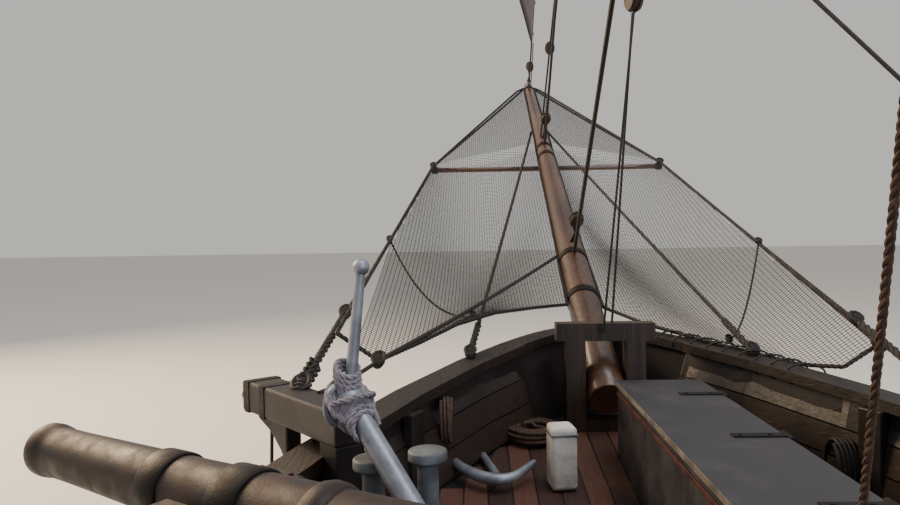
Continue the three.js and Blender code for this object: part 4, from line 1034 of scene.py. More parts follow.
def makeNets():
    rows, columns, step = 60, 24, net["mesh"]
    for side, label in shipSides:
        points = [netPoint(side, 0.97 * i / rows, j / columns)
                  for i in range(rows + 1) for j in range(columns + 1)]
        surface = BVHTree.FromPolygons(points, gridFaces(columns, rows))
        runs = []

        def gather(spots):
            path = []
            for x, y in spots:
                hit = surface.ray_cast(Vector((x, y, 9)), -up)
                if hit[0] is None:
                    if len(path) > 1:
                        runs.append(path)
                    path = []
                else:
                    path.append(hit[0])
            if len(path) > 1:
                runs.append(path)

        xs = np.arange(7.7, 14.2, step)
        ys = np.arange(0.06, 1.32, step)
        for y in ys:
            gather([(x, y) for x in xs])
        for x in xs:
            gather([(x, y) for y in ys])
        edge = ([netPoint(side, 0, k / 12) for k in range(13)]
                + [netPoint(side, 0.97 * k / 40, 1) for k in range(1, 41)]
                + [netPoint(side, 0.97, 1 - k / 3) for k in range(1, 4)]
                + [netPoint(side, 0.97 * (1 - k / 30), 0) for k in range(1, 31)])
        flip = Vector((1, side, 1))
        webs = [([p * flip for p in path], net["twine"]) for path in runs]
        web = lines("bow_netting_" + label, webs, netTwine, sides=3)
        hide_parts("bow_net_" + label)
        laidRopes("net_boltrope_" + label, [[p * flip for p in edge]], net["bolt"], tarredRope)


makeNets()


def makeBowsprit():
    pile = newPile()
    turn = frameAlong(spritAt(1) - spritAt(0))
    heel, foot, length = bow["heel"], bow["foot"], bow["length"]
    rows = [(-heel, foot - 0.006), (0.01 - heel, foot), (0.0, foot)]
    rows += [(a, spritRadius(a)) for a in (0.9, 1.9, 2.9, 3.9, 4.9, 5.6)]
    rows += [(length - 0.014, bow["tip"] - 0.002), (length, bow["tip"] - 0.01)]
    addLathe(pile, rows, spritAt(0), turn, 28)
    makePiece("round_bowsprit", pile, sparPineX, node="bowsprit")
    bands = newPile()
    for along in (0.35, 0.907, 3.05, 3.307, 5.55):
        r = spritRadius(along)
        band = [(-0.03, r), (-0.03, r + 0.007), (0.03, r + 0.006), (0.03, r)]
        addLathe(bands, band, spritAt(along), turn, 28)
    addLathe(bands, [(-0.02, 0.03), (-0.02, 0.031), (0.05, 0.03), (0.07, 0.012)], spritAt(5.75), turn, 16)
    makePiece("bowsprit_bands", bands, blackIron)
    rod = newPile()
    half, r = bow["spreaderHalf"], bow["spreaderRadius"]
    rows = [(-half, r - 0.004), (0.009 - half, r), (0, r + 0.002), (half - 0.009, r), (half, r - 0.004)]
    addLathe(rod, rows, (spreaderX, 0, spreaderZ), frameAlong(toPort), 20)
    makePiece("round_spreader", rod, sparPineY, node="net_spreader")


makeBowsprit()


# Guys from the rails by the catheads to the spreader's ends and the bowsprit's tip
guys = {"feet": {1: (7.33, 1.47, 2.3), -1: (7.5, 1.3, 2.2)}, "radius": 0.013, "served": 0.021,
        "railEnd": (8.32, 0.77, 2.27)}


def makeGuys():
    ropes, served, thin, knots = [], [], [], []
    for side in (1, -1):
        flip = Vector((1, side, 1))
        foot = Vector(guys["feet"][side])
        wing = Vector((spreaderX, bow["spreaderHalf"] - 0.01, spreaderZ + 0.045))
        tip = spritAt(5.62, 0.075)
        ropes.append([p * flip for p in sagging(foot, wing, 0.012, 16)])
        ropes.append([p * flip for p in sagging(wing, tip, 0.01, 12)])
        # a whisker stay from the rail near the stem up to the bowsprit
        whisker = sagging(guys["railEnd"], spritAt(3.9, 0.09), 0.012, 14)
        ropes.append([p * flip for p in whisker])
        served.append([p * flip for p in [foot.lerp(wing, t) for t in (0.0, 0.05, 0.1, 0.165)]])
        served.append([p * flip for p in whisker[:2]])
        corner = Vector(netHems[side][-2 if side > 0 else -1])
        if side > 0:
            thin.append((sagging(corner, foot + Vector((-0.12, -0.1, 0.0)), 0.01), 0.01))
            thin.append((sagging(corner, spritAt(1.0, 0.1), 0.015, 14), 0.012))
        knot = foot.lerp(wing, 0.45)
        near = netPoint(side, 0.08, 0.45) + up * 0.02
        thin.append(([p * flip for p in sagging(knot, near, 0.16, 14)], 0.0065))
        knots += [(p * flip, frameAlong(wing - foot), size) for p, size in
                  ((knot, 1.0), (foot.lerp(wing, 0.17), 1.5), (corner, 1.5), (near, 0.9),
                   (wing, 1.6), (Vector(guys["railEnd"]), 1.5), (foot, 1.8))]
        # turns of lashing round the spreader's end and the lower thimble
        for k in range(5):
            a = foot.lerp(wing, 0.004 + 0.01 * k)
            turn = circle(a, forward * 0.03, Vector((0, 0.02, 0.03)), 10, 1)
            thin.append(([p * flip for p in turn], 0.007))
            b = Vector((spreaderX, bow["spreaderHalf"] - 0.012 * k, spreaderZ))
            thin.append(([p * flip for p in circle(b, forward * 0.031, up * 0.031, 10, 1)], 0.006))
    # starboard lacing of the hem over the cap rail
    for k in range(11):
        x = 8.85 - 0.085 * k
        rail = railPoint(x)
        loop = [Vector((x + 0.02 * math.sin(t / 2), -(rail.y - 0.035 + 0.1 * math.cos(t)),
                        rail.z - 0.02 + 0.06 * math.sin(t))) for t in np.linspace(0, 2 * math.pi, 13)]
        thin.append((loop, 0.0055))
    laidRopes("net_guys", ropes, guys["radius"], tarredRope)
    laidRopes("guy_servings", served, guys["served"], tarredRope, coarse=0.7)
    lines("net_lashings", thin, tarredRope, sides=6)
    bunch = newPile()
    rows = []
    for k in range(5):
        centre = (k - 2) * 0.0125
        wide = 0.021 - 0.0012 * (k - 2) ** 2
        rows += [(centre - 0.006, wide - 0.005), (centre - 0.003, wide), (centre + 0.003, wide)]
    rows.append((0.033, 0.009))
    addLathe(bunch, [(-0.034, 0.009)] + rows, (0, 0, 0), None, 9)
    addTube(bunch, circle((0, 0.013, 0), forward * 0.02, Vector((0, 0.006, 0.027)), 10), 0.006, 5,
            closed=True)
    copies("guy_knots", bunch, knots, tarredRope)


makeGuys()
print("bow rigged")


# Masts: round poles with iron hoops
masts = {"fore": {"x": 3.4, "top": 14.0, "foot": 0.15, "head": 0.06, "platform": 8.5},
         "main": {"x": -2.4, "top": 14.9, "foot": 0.165, "head": 0.06, "platform": 10.3}}


def mastRadius(mast, z):
    base, join = deckAt(mast["x"]), mast["platform"] + 0.9
    if z < join:
        return mast["foot"] * (1 - 0.28 * (z - base) / (join - base))
    share = (z - join + 0.01) / (mast["top"] - join + 0.01)
    return mast["foot"] * 0.55 + (mast["head"] - mast["foot"] * 0.55) * share


def makeMasts():
    hoops = newPile()
    for label, mast in masts.items():
        pile = newPile()
        base, join = deckAt(mast["x"]), mast["platform"] + 0.9
        heights = list(np.linspace(base, join - 0.01, 9))
        rows = [(z, mastRadius(mast, z)) for z in heights] + [(join, mastRadius(mast, join - 0.01) - 0.012)]
        addLathe(pile, rows, (mast["x"], 0, 0), None, 28)
        rows = [(z, mastRadius(mast, z)) for z in np.linspace(join - 0.005, mast["top"] - 0.03, 7)]
        addLathe(pile, rows + [(mast["top"], 0.03)], (mast["x"], 0, 0), None, 24)
        makePiece(f"round_{label}mast", pile, sparPineZ, node=label + "mast")
        bands = list(np.arange(base + 0.9, mast["platform"] - 0.8, 1.15)) + [join - 0.06, mast["top"] - 0.35]
        for z in bands:
            r = mastRadius(mast, z)
            rows = [(-0.03, r), (-0.03, r + 0.005), (0.03, r + 0.005), (0.03, r)]
            addLathe(hoops, rows, (mast["x"], 0, z), None, 28)
        addLathe(hoops, [(-0.04, 0.155), (-0.04, 0.2), (0.0, 0.2), (0.05, 0.16)],
                 (mast["x"], 0, base + 0.045), None, 28)
    makePiece("mast_hoops", hoops, blackIron)


makeMasts()


# Sails: cloths with seams, bellied by the wind, on boltropes
def clothPiece(name, pointAt, width, height, columns, rows, body, node):
    pile = newPile()
    grid = [[pointAt(i / columns, j / rows) for i in range(columns + 1)] for j in range(rows + 1)]
    flat = [p for row in grid for p in row]
    faces = gridFaces(columns, rows)
    area = sum(quadArea([flat[n] for n in face]) for face in faces)
    addShape(pile, flat, faces, gridUvs(width, height, columns, rows))
    piece = makePiece(name, pile, tannedCanvas, body, smooth=80, node=node)
    solid = piece.modifiers.new("cloth_thickness", "SOLIDIFY")
    solid.thickness = 0.004
    solid.offset = 0
    return grid


def bellied(corners, belly, wrinkle=0.012, seed=0.0):
    tack, clew, throat, peak = [Vector(c) for c in corners]

    def pointAt(u, v):
        p = tack.lerp(throat, v).lerp(clew.lerp(peak, v), u)
        hollow = math.sin(math.pi * u) * (0.4 + 0.6 * math.sin(math.pi * v))
        p.y += belly * hollow
        # creases that run out of the clew and tack, and soft hollows between the cloths
        away = math.hypot(1 - u, v)
        crease = math.sin(18 * math.atan2(v + 0.01, 1.01 - u) + seed) * math.exp(-3.2 * away)
        soft = noise.noise(Vector((u * 3.0 + seed, v * 4.0, seed)))
        lock = min(1.0, 12 * u, 12 * (1 - u) + 0.2)
        p.y += lock * (wrinkle * 1.6 * crease + wrinkle * 1.2 * soft)
        return p

    return pointAt


stays = {"outer": (5.6, 13.6, 0.01), "middle": (3.307, 11.75, 0.012), "inner": (0.907, 8.25, 0.014)}
jibs = {
    "outer": {"stay": "outer", "tack": 0.055, "head": 0.86, "clew": (4.6, 1.15, 5.6), "belly": 0.26},
    "inner": {"stay": "middle", "tack": 0.2, "head": 0.84, "clew": (4.3, 0.9, 5.1), "belly": 0.26},
}


def stayAt(name, share, below=0.0):
    along, height, radius = stays[name]
    foot, head = spritAt(along), Vector((masts["fore"]["x"], 0, height))
    run = (head - foot).normalized()
    return foot.lerp(head, share) + Vector((-run.z, 0, run.x)) * below


def makeJibs():
    bolts, hanks, reefs = [], [], []
    for label, jib in jibs.items():
        below = stays[jib["stay"]][2] + 0.004
        tack, peak = stayAt(jib["stay"], jib["tack"], below), stayAt(jib["stay"], jib["head"], below)
        corners = [tack, Vector(jib["clew"]), peak, peak + Vector((-0.06, 0.005, -0.07))]
        width = (corners[1] - tack).length
        height = (peak - tack).length
        shape = bellied(corners, jib["belly"], 0.014, len(label))
        grid = clothPiece(label + "_jib_sail", shape, width, height, 40, 60, "ship", "jib_" + label)
        bolts += [grid[0], [row[-1] for row in grid], [row[0] for row in grid]]
        run = (peak - tack).normalized()
        turn = frameAlong(run)
        count = int(height / 0.42)
        for k in range(count):
            p = stayAt(jib["stay"], jib["tack"] + (jib["head"] - jib["tack"]) * (k + 0.3) / count, 0.006)
            hanks.append((p, turn, 1.0))
        for k in range(1, 9):
            p = grid[13][k * 4]
            for side in (1, -1):
                sway = Vector((0, side * 0.012, 0))
                reefs.append(([p + sway * 0.3, p + sway + up * -0.02, p + sway * 1.4 - up * 0.16], 0.004))
    laidRopes("jib_boltropes", bolts, 0.009, tarredRope, coarse=1.6)
    ring = newPile()
    addTube(ring, circle((0, 0, 0), forward * 0.024, toPort * 0.024, 12), 0.004, 5, closed=True)
    copies("jib_hanks", ring, hanks, blackIron)
    lines("jib_reef_points", reefs, paleRope, sides=4)


makeJibs()

boom = {"z": 5.45, "length": 5.2, "radius": 0.085, "jawX": -2.575, "rise": 0.26}
gaff = {"z": 9.3, "length": 3.5, "radius": 0.065, "rise": 0.62}
boomFoot = Vector((boom["jawX"], 0, boom["z"]))
boomEnd = Vector((boom["jawX"] - boom["length"], 0, boom["z"] + boom["rise"]))
gaffFoot = Vector((boom["jawX"] - 0.005, 0, gaff["z"]))
gaffEnd = gaffFoot + Vector((-math.cos(gaff["rise"]), 0, math.sin(gaff["rise"]))) * gaff["length"]


def makeMainsail():
    lowTack = boomFoot.lerp(boomEnd, 0.02) + up * 0.11
    lowClew = boomFoot.lerp(boomEnd, 0.96) + up * 0.09
    throat = gaffFoot.lerp(gaffEnd, 0.05) - up * 0.1
    peak = gaffFoot.lerp(gaffEnd, 0.97) - up * 0.075
    shape = bellied([lowTack, lowClew, throat, peak], 0.16, 0.016, 2.0)
    grid = clothPiece("gaff_mainsail", shape, (lowClew - lowTack).length, (peak - lowClew).length, 44, 44,
                      "mainsail", "main_sail")
    edges = [grid[0], grid[-1], [row[0] for row in grid], [row[-1] for row in grid]]
    laidRopes("mainsail_boltropes", edges, 0.011, tarredRope, "mainsail", coarse=1.6)
    # lacing round the gaff and boom
    ties = []
    for k in range(1, 12):
        for row, spar, r, sign in ((grid[-1], (gaffFoot, gaffEnd), 0.06, 1),
                                   (grid[0], (boomFoot, boomEnd), 0.084, -1)):
            p = row[4 * k - 2]
            share = max(0.0, min(1.0, (p.x - spar[0].x) / (spar[1].x - spar[0].x)))
            c = spar[0].lerp(spar[1], share)
            along = (spar[1] - spar[0]).normalized()
            other = along.cross(toPort)
            ring = [c + (toPort * math.cos(a) + other * math.sin(a)) * (r * 1.12) + along * 0.02 * a / 6
                    for a in np.linspace(0, 2 * math.pi, 13)]
            ties.append((ring, 0.005))
            ties.append(([p, c - up * sign * r * 1.1], 0.005))
    lines("mainsail_lacing", ties, tarredRope, "mainsail", sides=4)
    reefs = []
    for row in (9, 17):
        for k in range(2, 43, 4):
            p = grid[row][k]
            for side in (1, -1):
                knot, end = p + Vector((0, side * 0.015, -0.03)), p + Vector((0.01, side * 0.02, -0.2))
                reefs.append(([p, knot, end], 0.004))
    lines("mainsail_reef_points", reefs, paleRope, "mainsail", sides=4)
    spars = newPile()
    addLathe(spars, [(0, 0.085), (2.6, 0.082), (5.1, 0.062), (5.2, 0.05)], boomFoot,
             frameAlong(boomEnd - boomFoot), 24)
    addLathe(spars, [(0, 0.065), (1.8, 0.06), (3.45, 0.042), (3.5, 0.034)], gaffFoot,
             frameAlong(gaffEnd - gaffFoot), 24)
    makePiece("round_boom_and_gaff", spars, sparPineX, "mainsail")


makeMainsail()


# Furled sails: each rolled up along its yard and pinched by gaskets
yards = {
    "fore": {"node": "fore_yard", "sail": "fore_course_furled", "z": 7.15, "half": 3.0,
             "radius": 0.085, "roll": 0.17, "drop": 2.9},
    "topsail": {"node": "topsail_yard", "sail": "fore_topsail_furled", "z": 10.5,
                "half": 2.05, "radius": 0.065, "roll": 0.14, "drop": 2.3},
}
yardX = 3.67


def makeYard(label, yard):
    z, half, radius = yard["z"], yard["half"], yard["radius"]
    spar = newPile()
    rows = [(-half, radius * 0.42), (-half + 0.03, radius * 0.5), (-half * 0.5, radius * 0.84),
            (-0.3, radius), (0.3, radius), (half * 0.5, radius * 0.84), (half - 0.03, radius * 0.5),
            (half, radius * 0.42)]
    addLathe(spar, rows, (yardX, 0, z), frameAlong(toPort), 20)
    makePiece(f"round_{label}_yard", spar, sparPineY, yard["node"])
    # the roll: the sail's drop wound round itself, lumpy and slack between the gaskets
    rollZ = z + radius + yard["roll"] * 0.8
    rollHalf = half * 0.82
    slices, turns, perTurn = 90, 4, 16
    steps = turns * perTurn
    points = []
    for i in range(slices + 1):
        y = -rollHalf + 2 * rollHalf * i / slices
        taper = 1 - 0.5 * (abs(y) / rollHalf) ** 1.5
        pinch = 0.86 + 0.14 * abs(math.sin(math.pi * (y + rollHalf) / 0.5))
        for k in range(steps + 1):
            a = 2 * math.pi * k / perTurn
            r = yard["roll"] * 0.78 * taper * pinch * (0.35 + 0.65 * k / steps)
            place = Vector((y * 3.2, math.cos(a) * 1.3, math.sin(a) * 1.3 + 3 * len(label)))
            lump = 1 + 0.13 * noise.noise(place)
            fold = 1 + 0.05 * math.sin(y * 23 + 2 * a)
            points.append((yardX + r * lump * fold * math.cos(a) * 0.95, y,
                           rollZ - 0.006 + r * lump * fold * math.sin(a) * 0.96))
    width = 2 * rollHalf
    # the grid's corners in the other order, and its cloth coordinates the other way round
    faces = [(a, d, c, b) for a, b, c, d in gridFaces(steps, slices)]
    uvs = [[(u, v) for v, u in (p, s, r, q)] for p, q, r, s in gridUvs(yard["drop"], width, steps, slices)]
    pile = newPile()
    addShape(pile, points, faces, uvs)
    area = sum(quadArea([Vector(points[n]) for n in face]) for face in faces)
    sail = makePiece(f"furled_{label}_sail", pile, tannedCanvas, yard["node"], smooth=80,
                     node=yard["sail"])
    gaskets = []
    for k in range(int(2 * rollHalf / 0.5) + 1):
        y = -rollHalf + 0.5 * k
        if abs(y) > rollHalf:
            continue
        taper = 1 - 0.5 * (abs(y) / rollHalf) ** 1.5
        top = rollZ + yard["roll"] * 0.78 * taper
        wide = yard["roll"] * 0.76 * taper
        share = abs(y) / half
        r = radius * (1 - 0.45 * share) + 0.008
        for shift in (0.0, 0.02, 0.04):
            loop = []
            for a in np.linspace(0, 2 * math.pi, 21):
                high = math.sin(a) > 0
                across = (wide if high else r) * 1.02
                mid = rollZ if high else z
                tall = (top - rollZ + 0.006) if high else r
                loop.append(Vector((yardX + across * math.cos(a), y + shift, mid + tall * math.sin(a))))
            gaskets.append((loop, 0.007))
    lines(f"{label}_gaskets", gaskets, paleRope, yard["node"], sides=5)
    # footropes under the yard
    under = []
    for side in (1, -1):
        path = sagging((yardX, side * 0.25, z - radius), (yardX, side * half * 0.93, z - 0.04), 0.42, 14)
        under.append(([p - forward * 0.02 for p in path], 0.009))
        for k in (0.35, 0.65):
            y = side * half * k
            near = min(path, key=lambda p: abs(p.y - y))
            under.append(([Vector((yardX, near.y, z - radius * 0.8)), near], 0.006))
    lines(f"{label}_footropes", under, tarredRope, yard["node"], sides=5)


for label, yard in yards.items():
    makeYard(label, yard)
print("sails and yards made")


# Standing rigging: shrouds with ratlines, on deadeyes and channels
shrouds = {
    "fore": {"feet": [2.0, 1.65, 1.3], "footY": 2.68, "footZ": 1.78, "headZ": 8.42,
             "topmast": (112, 140)},
    "main": {"feet": [-2.75, -3.05, -3.35], "footY": 2.68, "footZ": 1.78, "headZ": 10.2,
             "topmast": (80, 106)},
}


def deadeyeModel():
    pile = newPile()
    rows = [(-0.035, 0.04), (-0.028, 0.06), (-0.008, 0.068), (0.008, 0.068), (0.028, 0.06), (0.035, 0.04)]
    addLathe(pile, rows, (0, 0, 0), frameAlong(toPort), 18)
    return pile


def makeShrouds():
    ropes, rats, lanyards, eyes, channel, plates = [], [], [], [], newPile(), newPile()
    for label, mast in masts.items():
        rig = shrouds[label]
        for side in (1, -1):
            feet = [Vector((x, side * rig["footY"], rig["footZ"])) for x in rig["feet"]]
            head = Vector((mast["x"], side * (mastRadius(mast, rig["headZ"]) + 0.02), rig["headZ"]))
            legs = []
            for n, foot in enumerate(feet):
                run = (head - foot).normalized()
                lower = foot + run * 0.1
                upper = foot + run * 0.62
                top = head + Vector((-0.02 * n, 0, 0.05 * n))
                ropes.append(([upper + run * 0.05, top], 0.015))
                legs.append((upper, top))
                tilt = frameAlong(run, Vector((0, side, 0)))
                eyes += [(lower, tilt, 1.0), (upper, tilt, 1.0)]
                for shift in (-0.032, 0.0, 0.032):
                    off = Vector((shift, 0, 0))
                    for lay in (-0.014, 0.014):
                        out = Vector((0, lay, 0))
                        lanyards.append(([lower + off + out, upper + off + out], 0.006))
                # iron strap from the lower deadeye down to the wale
                wale = Vector((foot.x, side * 2.52, 1.22))
                low = Vector((foot.x, side * (rig["footY"] - 0.01), rig["footZ"] - 0.14))
                addBeam(plates, lower, low, 0.045, 0.012, near=toPort)
                addBeam(plates, low, wale, 0.045, 0.012, near=toPort)
            xs = [foot.x for foot in feet]
            addBox(channel, ((max(xs) + min(xs)) / 2, side * 2.575, rig["footZ"] - 0.16),
                   (max(xs) - min(xs) + 0.5, 0.27, 0.06))
            z = rig["footZ"] + 0.95
            while z < rig["headZ"] - 0.7:
                across = []
                for upper, top in legs:
                    share = (z - upper.z) / (top.z - upper.z)
                    across.append(upper.lerp(top, share) + Vector((0, side * 0.012, 0)))
                line = sagging(across[0], across[1], 0.008, 4) + sagging(across[1], across[2], 0.008, 4)[1:]
                rats.append((line, 0.0065))
                z += 0.39
            # topmast shrouds from the top's rim
            for turn in rig["topmast"]:
                a = math.radians(turn)
                foot = Vector((mast["x"], 0, mast["platform"] + 0.56))
                foot += Vector((math.cos(a), side * math.sin(a), 0)) * 0.745
                high = Vector((mast["x"], side * 0.07, mast["top"] - 0.55))
                ropes.append(([foot, high], 0.009))
    lines("shrouds", ropes, tarredRope, sides=7)
    lines("ratlines", rats, tarredRope, sides=5)
    lines("deadeye_lanyards", lanyards, tarredRope, sides=4)
    copies("deadeyes", deadeyeModel(), eyes, darkOakX)
    makePiece("channels", channel, hullPaint, smooth=0, bevel=0.008)
    makePiece("chain_plates", plates, blackIron, smooth=0)
    back = []
    for side in (1, -1):
        back.append((sagging((3.4, side * 0.06, 13.35), (0.7, side * 2.44, 2.02), 0.0, 2), 0.009))
        back.append((sagging((-2.4, side * 0.06, 14.2), (-3.5, side * 2.44, 2.07), 0.0, 2), 0.009))
    back.append((sagging((3.4, 0, 13.75), (-2.4, 0, 14.5), 0.12, 20), 0.009))
    back.append(([(-2.25, 0, 10.1), (3.27, 0, 2.75)], 0.016))
    lines("backstays", back, tarredRope, sides=6)


makeShrouds()
print("standing rigging made")


# Foredeck gear near the camera
gun = {"trunnion": (5.865, 1.206, 2.352), "turn": math.radians(58.4), "profile": [
    (-0.65, 0.012), (-0.648, 0.026), (-0.636, 0.034), (-0.62, 0.037), (-0.604, 0.034), (-0.597, 0.05),
    (-0.592, 0.088), (-0.588, 0.097), (-0.575, 0.102), (-0.56, 0.102), (-0.545, 0.097), (-0.54, 0.094),
    (-0.4, 0.091), (-0.245, 0.087), (-0.24, 0.092), (-0.225, 0.097), (-0.205, 0.098), (-0.19, 0.094),
    (-0.184, 0.086), (0.0, 0.0815), (0.176, 0.0765), (0.35, 0.0735), (0.5, 0.0705), (0.7, 0.067),
    (0.76, 0.067), (0.79, 0.0675), (0.8, 0.0715), (0.82, 0.0735), (0.838, 0.0725), (0.848, 0.069),
    (0.85, 0.063), (0.85, 0.04), (0.842, 0.037), (0.6, 0.036), (0.595, 0.001)]}


def makeGuns():
    for side, label in shipSides:
        turn = Matrix.Rotation(side * gun["turn"], 3, "Z")
        ahead = turn @ forward
        place = Vector((gun["trunnion"][0], side * gun["trunnion"][1], gun["trunnion"][2]))
        bore = frameAlong(ahead)
        pile = newPile()
        addLathe(pile, gun["profile"], place, bore, 44)
        across = turn @ toPort
        addLathe(pile, [(-0.15, 0.024), (-0.146, 0.028), (0.146, 0.028), (0.15, 0.024)],
                 place - up * 0.01, frameAlong(across), 20)
        addLathe(pile, [(0.0, 0.02), (0.012, 0.02), (0.014, 0.012), (0.006, 0.006)],
                 place - ahead * 0.5 + up * 0.088, None, 14)
        for low, high, r in ((0.245, 0.33, 0.0825), (-0.02, 0.075, 0.0895)):
            band = [(low, r - 0.012), (low + 0.002, r - 0.003), (low + 0.008, r), (high - 0.008, r - 0.001),
                    (high - 0.002, r - 0.004), (high, r - 0.014)]
            addLathe(pile, band, place, bore, 44, mark=1)
        makePiece("cast_gun_" + label, pile, [rustyIron, blackIron], "gun_" + label, smooth=30,
                  node="gun_barrel_" + label)
        # the carriage's cap squares, bolts and hubs in iron, and the rims of its trucks in oak
        iron, wood = newPile(), newPile()
        base = deckAt(gun["trunnion"][0])

        def spot(x, y, z):
            return place + turn @ Vector((x, y, 0)) + up * (z - place.z)

        for s in (-1, 1):
            out = frameAlong(turn @ Vector((0, s, 0)))
            arch = [spot(0.036 * math.cos(a), s * 0.131, place.z - 0.01 + 0.036 * math.sin(a))
                    for a in np.linspace(0.1, math.pi - 0.1, 9)]
            addTube(iron, arch, 0.009, 6)
            for x, z in ((-0.46, base + 0.2), (-0.3, base + 0.24), (-0.1, base + 0.2), (0.1, base + 0.22),
                         (0.2, base + 0.16), (-0.46, base + 0.34)):
                addLathe(iron, [(0, 0.014), (0.008, 0.013), (0.011, 0.006)], spot(x, s * 0.15, z), out, 10)
            for x in (-0.42, 0.16):
                hub = spot(x, s * 0.21, base + 0.098)
                rim = [(-0.024, 0.085), (-0.024, 0.094), (0.0, 0.098), (0.024, 0.094), (0.024, 0.085)]
                addLathe(wood, rim, spot(x, s * 0.185, base + 0.098), out, 28)
                addLathe(iron, [(0.0, 0.03), (0.01, 0.03), (0.016, 0.022)], hub, out, 16)
        makePiece("carriage_irons_" + label, iron, blackIron)
        makePiece("carriage_trucks_" + label, wood, darkOakZ)
        ropes = []
        # the breeching runs from the carriage's sides to a ring ahead and a ring abaft
        for x, z, way in ((6.75, 2.0, -1), (5.2, 1.92, 1)):
            ring = Vector((x, side * (railPoint(x).y - 0.1), z))
            sideways = spot(-0.5, 0.17 * side * way, base + 0.3)
            path = [sideways, sideways.lerp(ring, 0.5) - up * 0.16, ring]
            ropes.append([Vector(p) for p in smoothPath(path, 7)])
        laidRopes("breeching_" + label, ropes, 0.014, manilaRope, coarse=1.2)


makeGuns()

anchor = {"head": (6.647, 1.145, 2.408), "crown": (6.034, 0.487), "stockTop": (6.66, 1.1, 2.83),
          "stockFoot": (6.64, 1.07, 2.25)}


def makeAnchor():
    head = Vector(anchor["head"])
    crown = Vector(anchor["crown"] + (deckAt(6.034) + 0.038,))
    top, foot = Vector(anchor["stockTop"]), Vector(anchor["stockFoot"])
    along = (head - crown).normalized()
    stockAlong = (top - foot).normalized()
    sideways = along.cross(stockAlong).normalized()
    pile = newPile()
    length = (head - crown).length
    shank = [(0, 0.04), (0.03, 0.043), (length * 0.5, 0.038), (length - 0.06, 0.034), (length - 0.05, 0.043),
             (length + 0.045, 0.043), (length + 0.055, 0.03)]
    addLathe(pile, shank, crown, frameAlong(along), 28)
    addTube(pile, [foot, foot.lerp(head, 0.5), head, head.lerp(top, 0.12), head.lerp(top, 0.5), top],
            [0.021, 0.021, 0.021, 0.02, 0.0185, 0.0155], 24)
    for centre, r in ((top, 0.028), (foot + stockAlong * 0.002, 0.028), (head - along * 0.01, 0.05)):
        limit = math.pi / 2 - 0.12
        ball = [(r * math.sin(a), r * math.cos(a)) for a in np.linspace(-limit, limit, 9)]
        addLathe(pile, ball, centre, frameAlong(stockAlong), 20)
    for side in (-1, 1):
        arm = []
        for k in range(13):
            angle = side * 1.32 * k / 12
            bent = sideways * 0.3 * math.sin(angle) + along * 0.23 * (1 - math.cos(angle))
            arm.append(crown + bent + up * 0.002)
        addTube(pile, arm, [0.036 - 0.0012 * k for k in range(13)], 14)
        tip, before = arm[-1], arm[-4]
        run = (tip - before).normalized()
        # the palm: a pointed plate across the arm's end
        outline = [(-0.062, 0.02), (0.062, 0.02), (0.07, -0.05), (0.0, -0.12), (-0.07, -0.05)]
        centre = tip - run * 0.02 + up * 0.03
        wide = along.cross(sideways).normalized()
        plate = [centre + wide * w + run * l + run.cross(wide) * thick for thick in (-0.006, 0.006)
                 for w, l in outline]
        addShape(pile, plate, prismFaces(len(outline)))
    makePiece("silver_anchor", pile, silverPaint, node="stowed_anchor")
    # ring and shackle through the head, and the lashing's turns round shank and stock
    ring = newPile()
    centre = head - sideways * 0.012 - up * 0.03 + along * 0.02
    addTube(ring, circle(centre, sideways * 0.068, up * -0.068, 24), 0.011, 10, closed=True)
    addTube(ring, [head + sideways * 0.05, head + sideways * -0.05], 0.012, 10)
    makePiece("anchor_ring", ring, silverPaint)
    turns = []
    rng = random.Random(3)

    def wind(c, r, other, rise, steps):
        # one turn round the point c that climbs by the vector rise
        turns.append([c + (sideways * math.cos(a) + other * math.sin(a)) * r + rise * a / 6.28
                      for a in np.linspace(0, 2 * math.pi, steps + 1)])

    for k in range(6):
        c = head - along * (0.035 + 0.0165 * k)
        wind(c, 0.049 + 0.006 * rng.random(), stockAlong, along * 0.017, 16)
    for k in range(5):
        for way in (1, -1):
            c = head + stockAlong * way * (0.026 + 0.0155 * k)
            wind(c, 0.036 + 0.007 * rng.random(), along, stockAlong * 0.016, 14)
    for k in range(5):
        # crossing turns over the joint
        tilt = (stockAlong + along * (0.8 if k % 2 else -0.8)).normalized()
        out = tilt.cross(sideways).normalized()
        r = 0.062 + 0.005 * k
        turns.append([head - along * 0.01 + (sideways * math.cos(a) + out * math.sin(a)) * r
                      for a in np.linspace(0.3 * k, 0.3 * k + 2 * math.pi, 19)])
    laidRopes("anchor_lashing", turns, 0.0095, paleRope)


makeAnchor()


bitts = {"posts": ((6.64, 1.07), (6.72, 0.9)), "plateAngle": 1.13, "turns": 4, "line": 0.011}


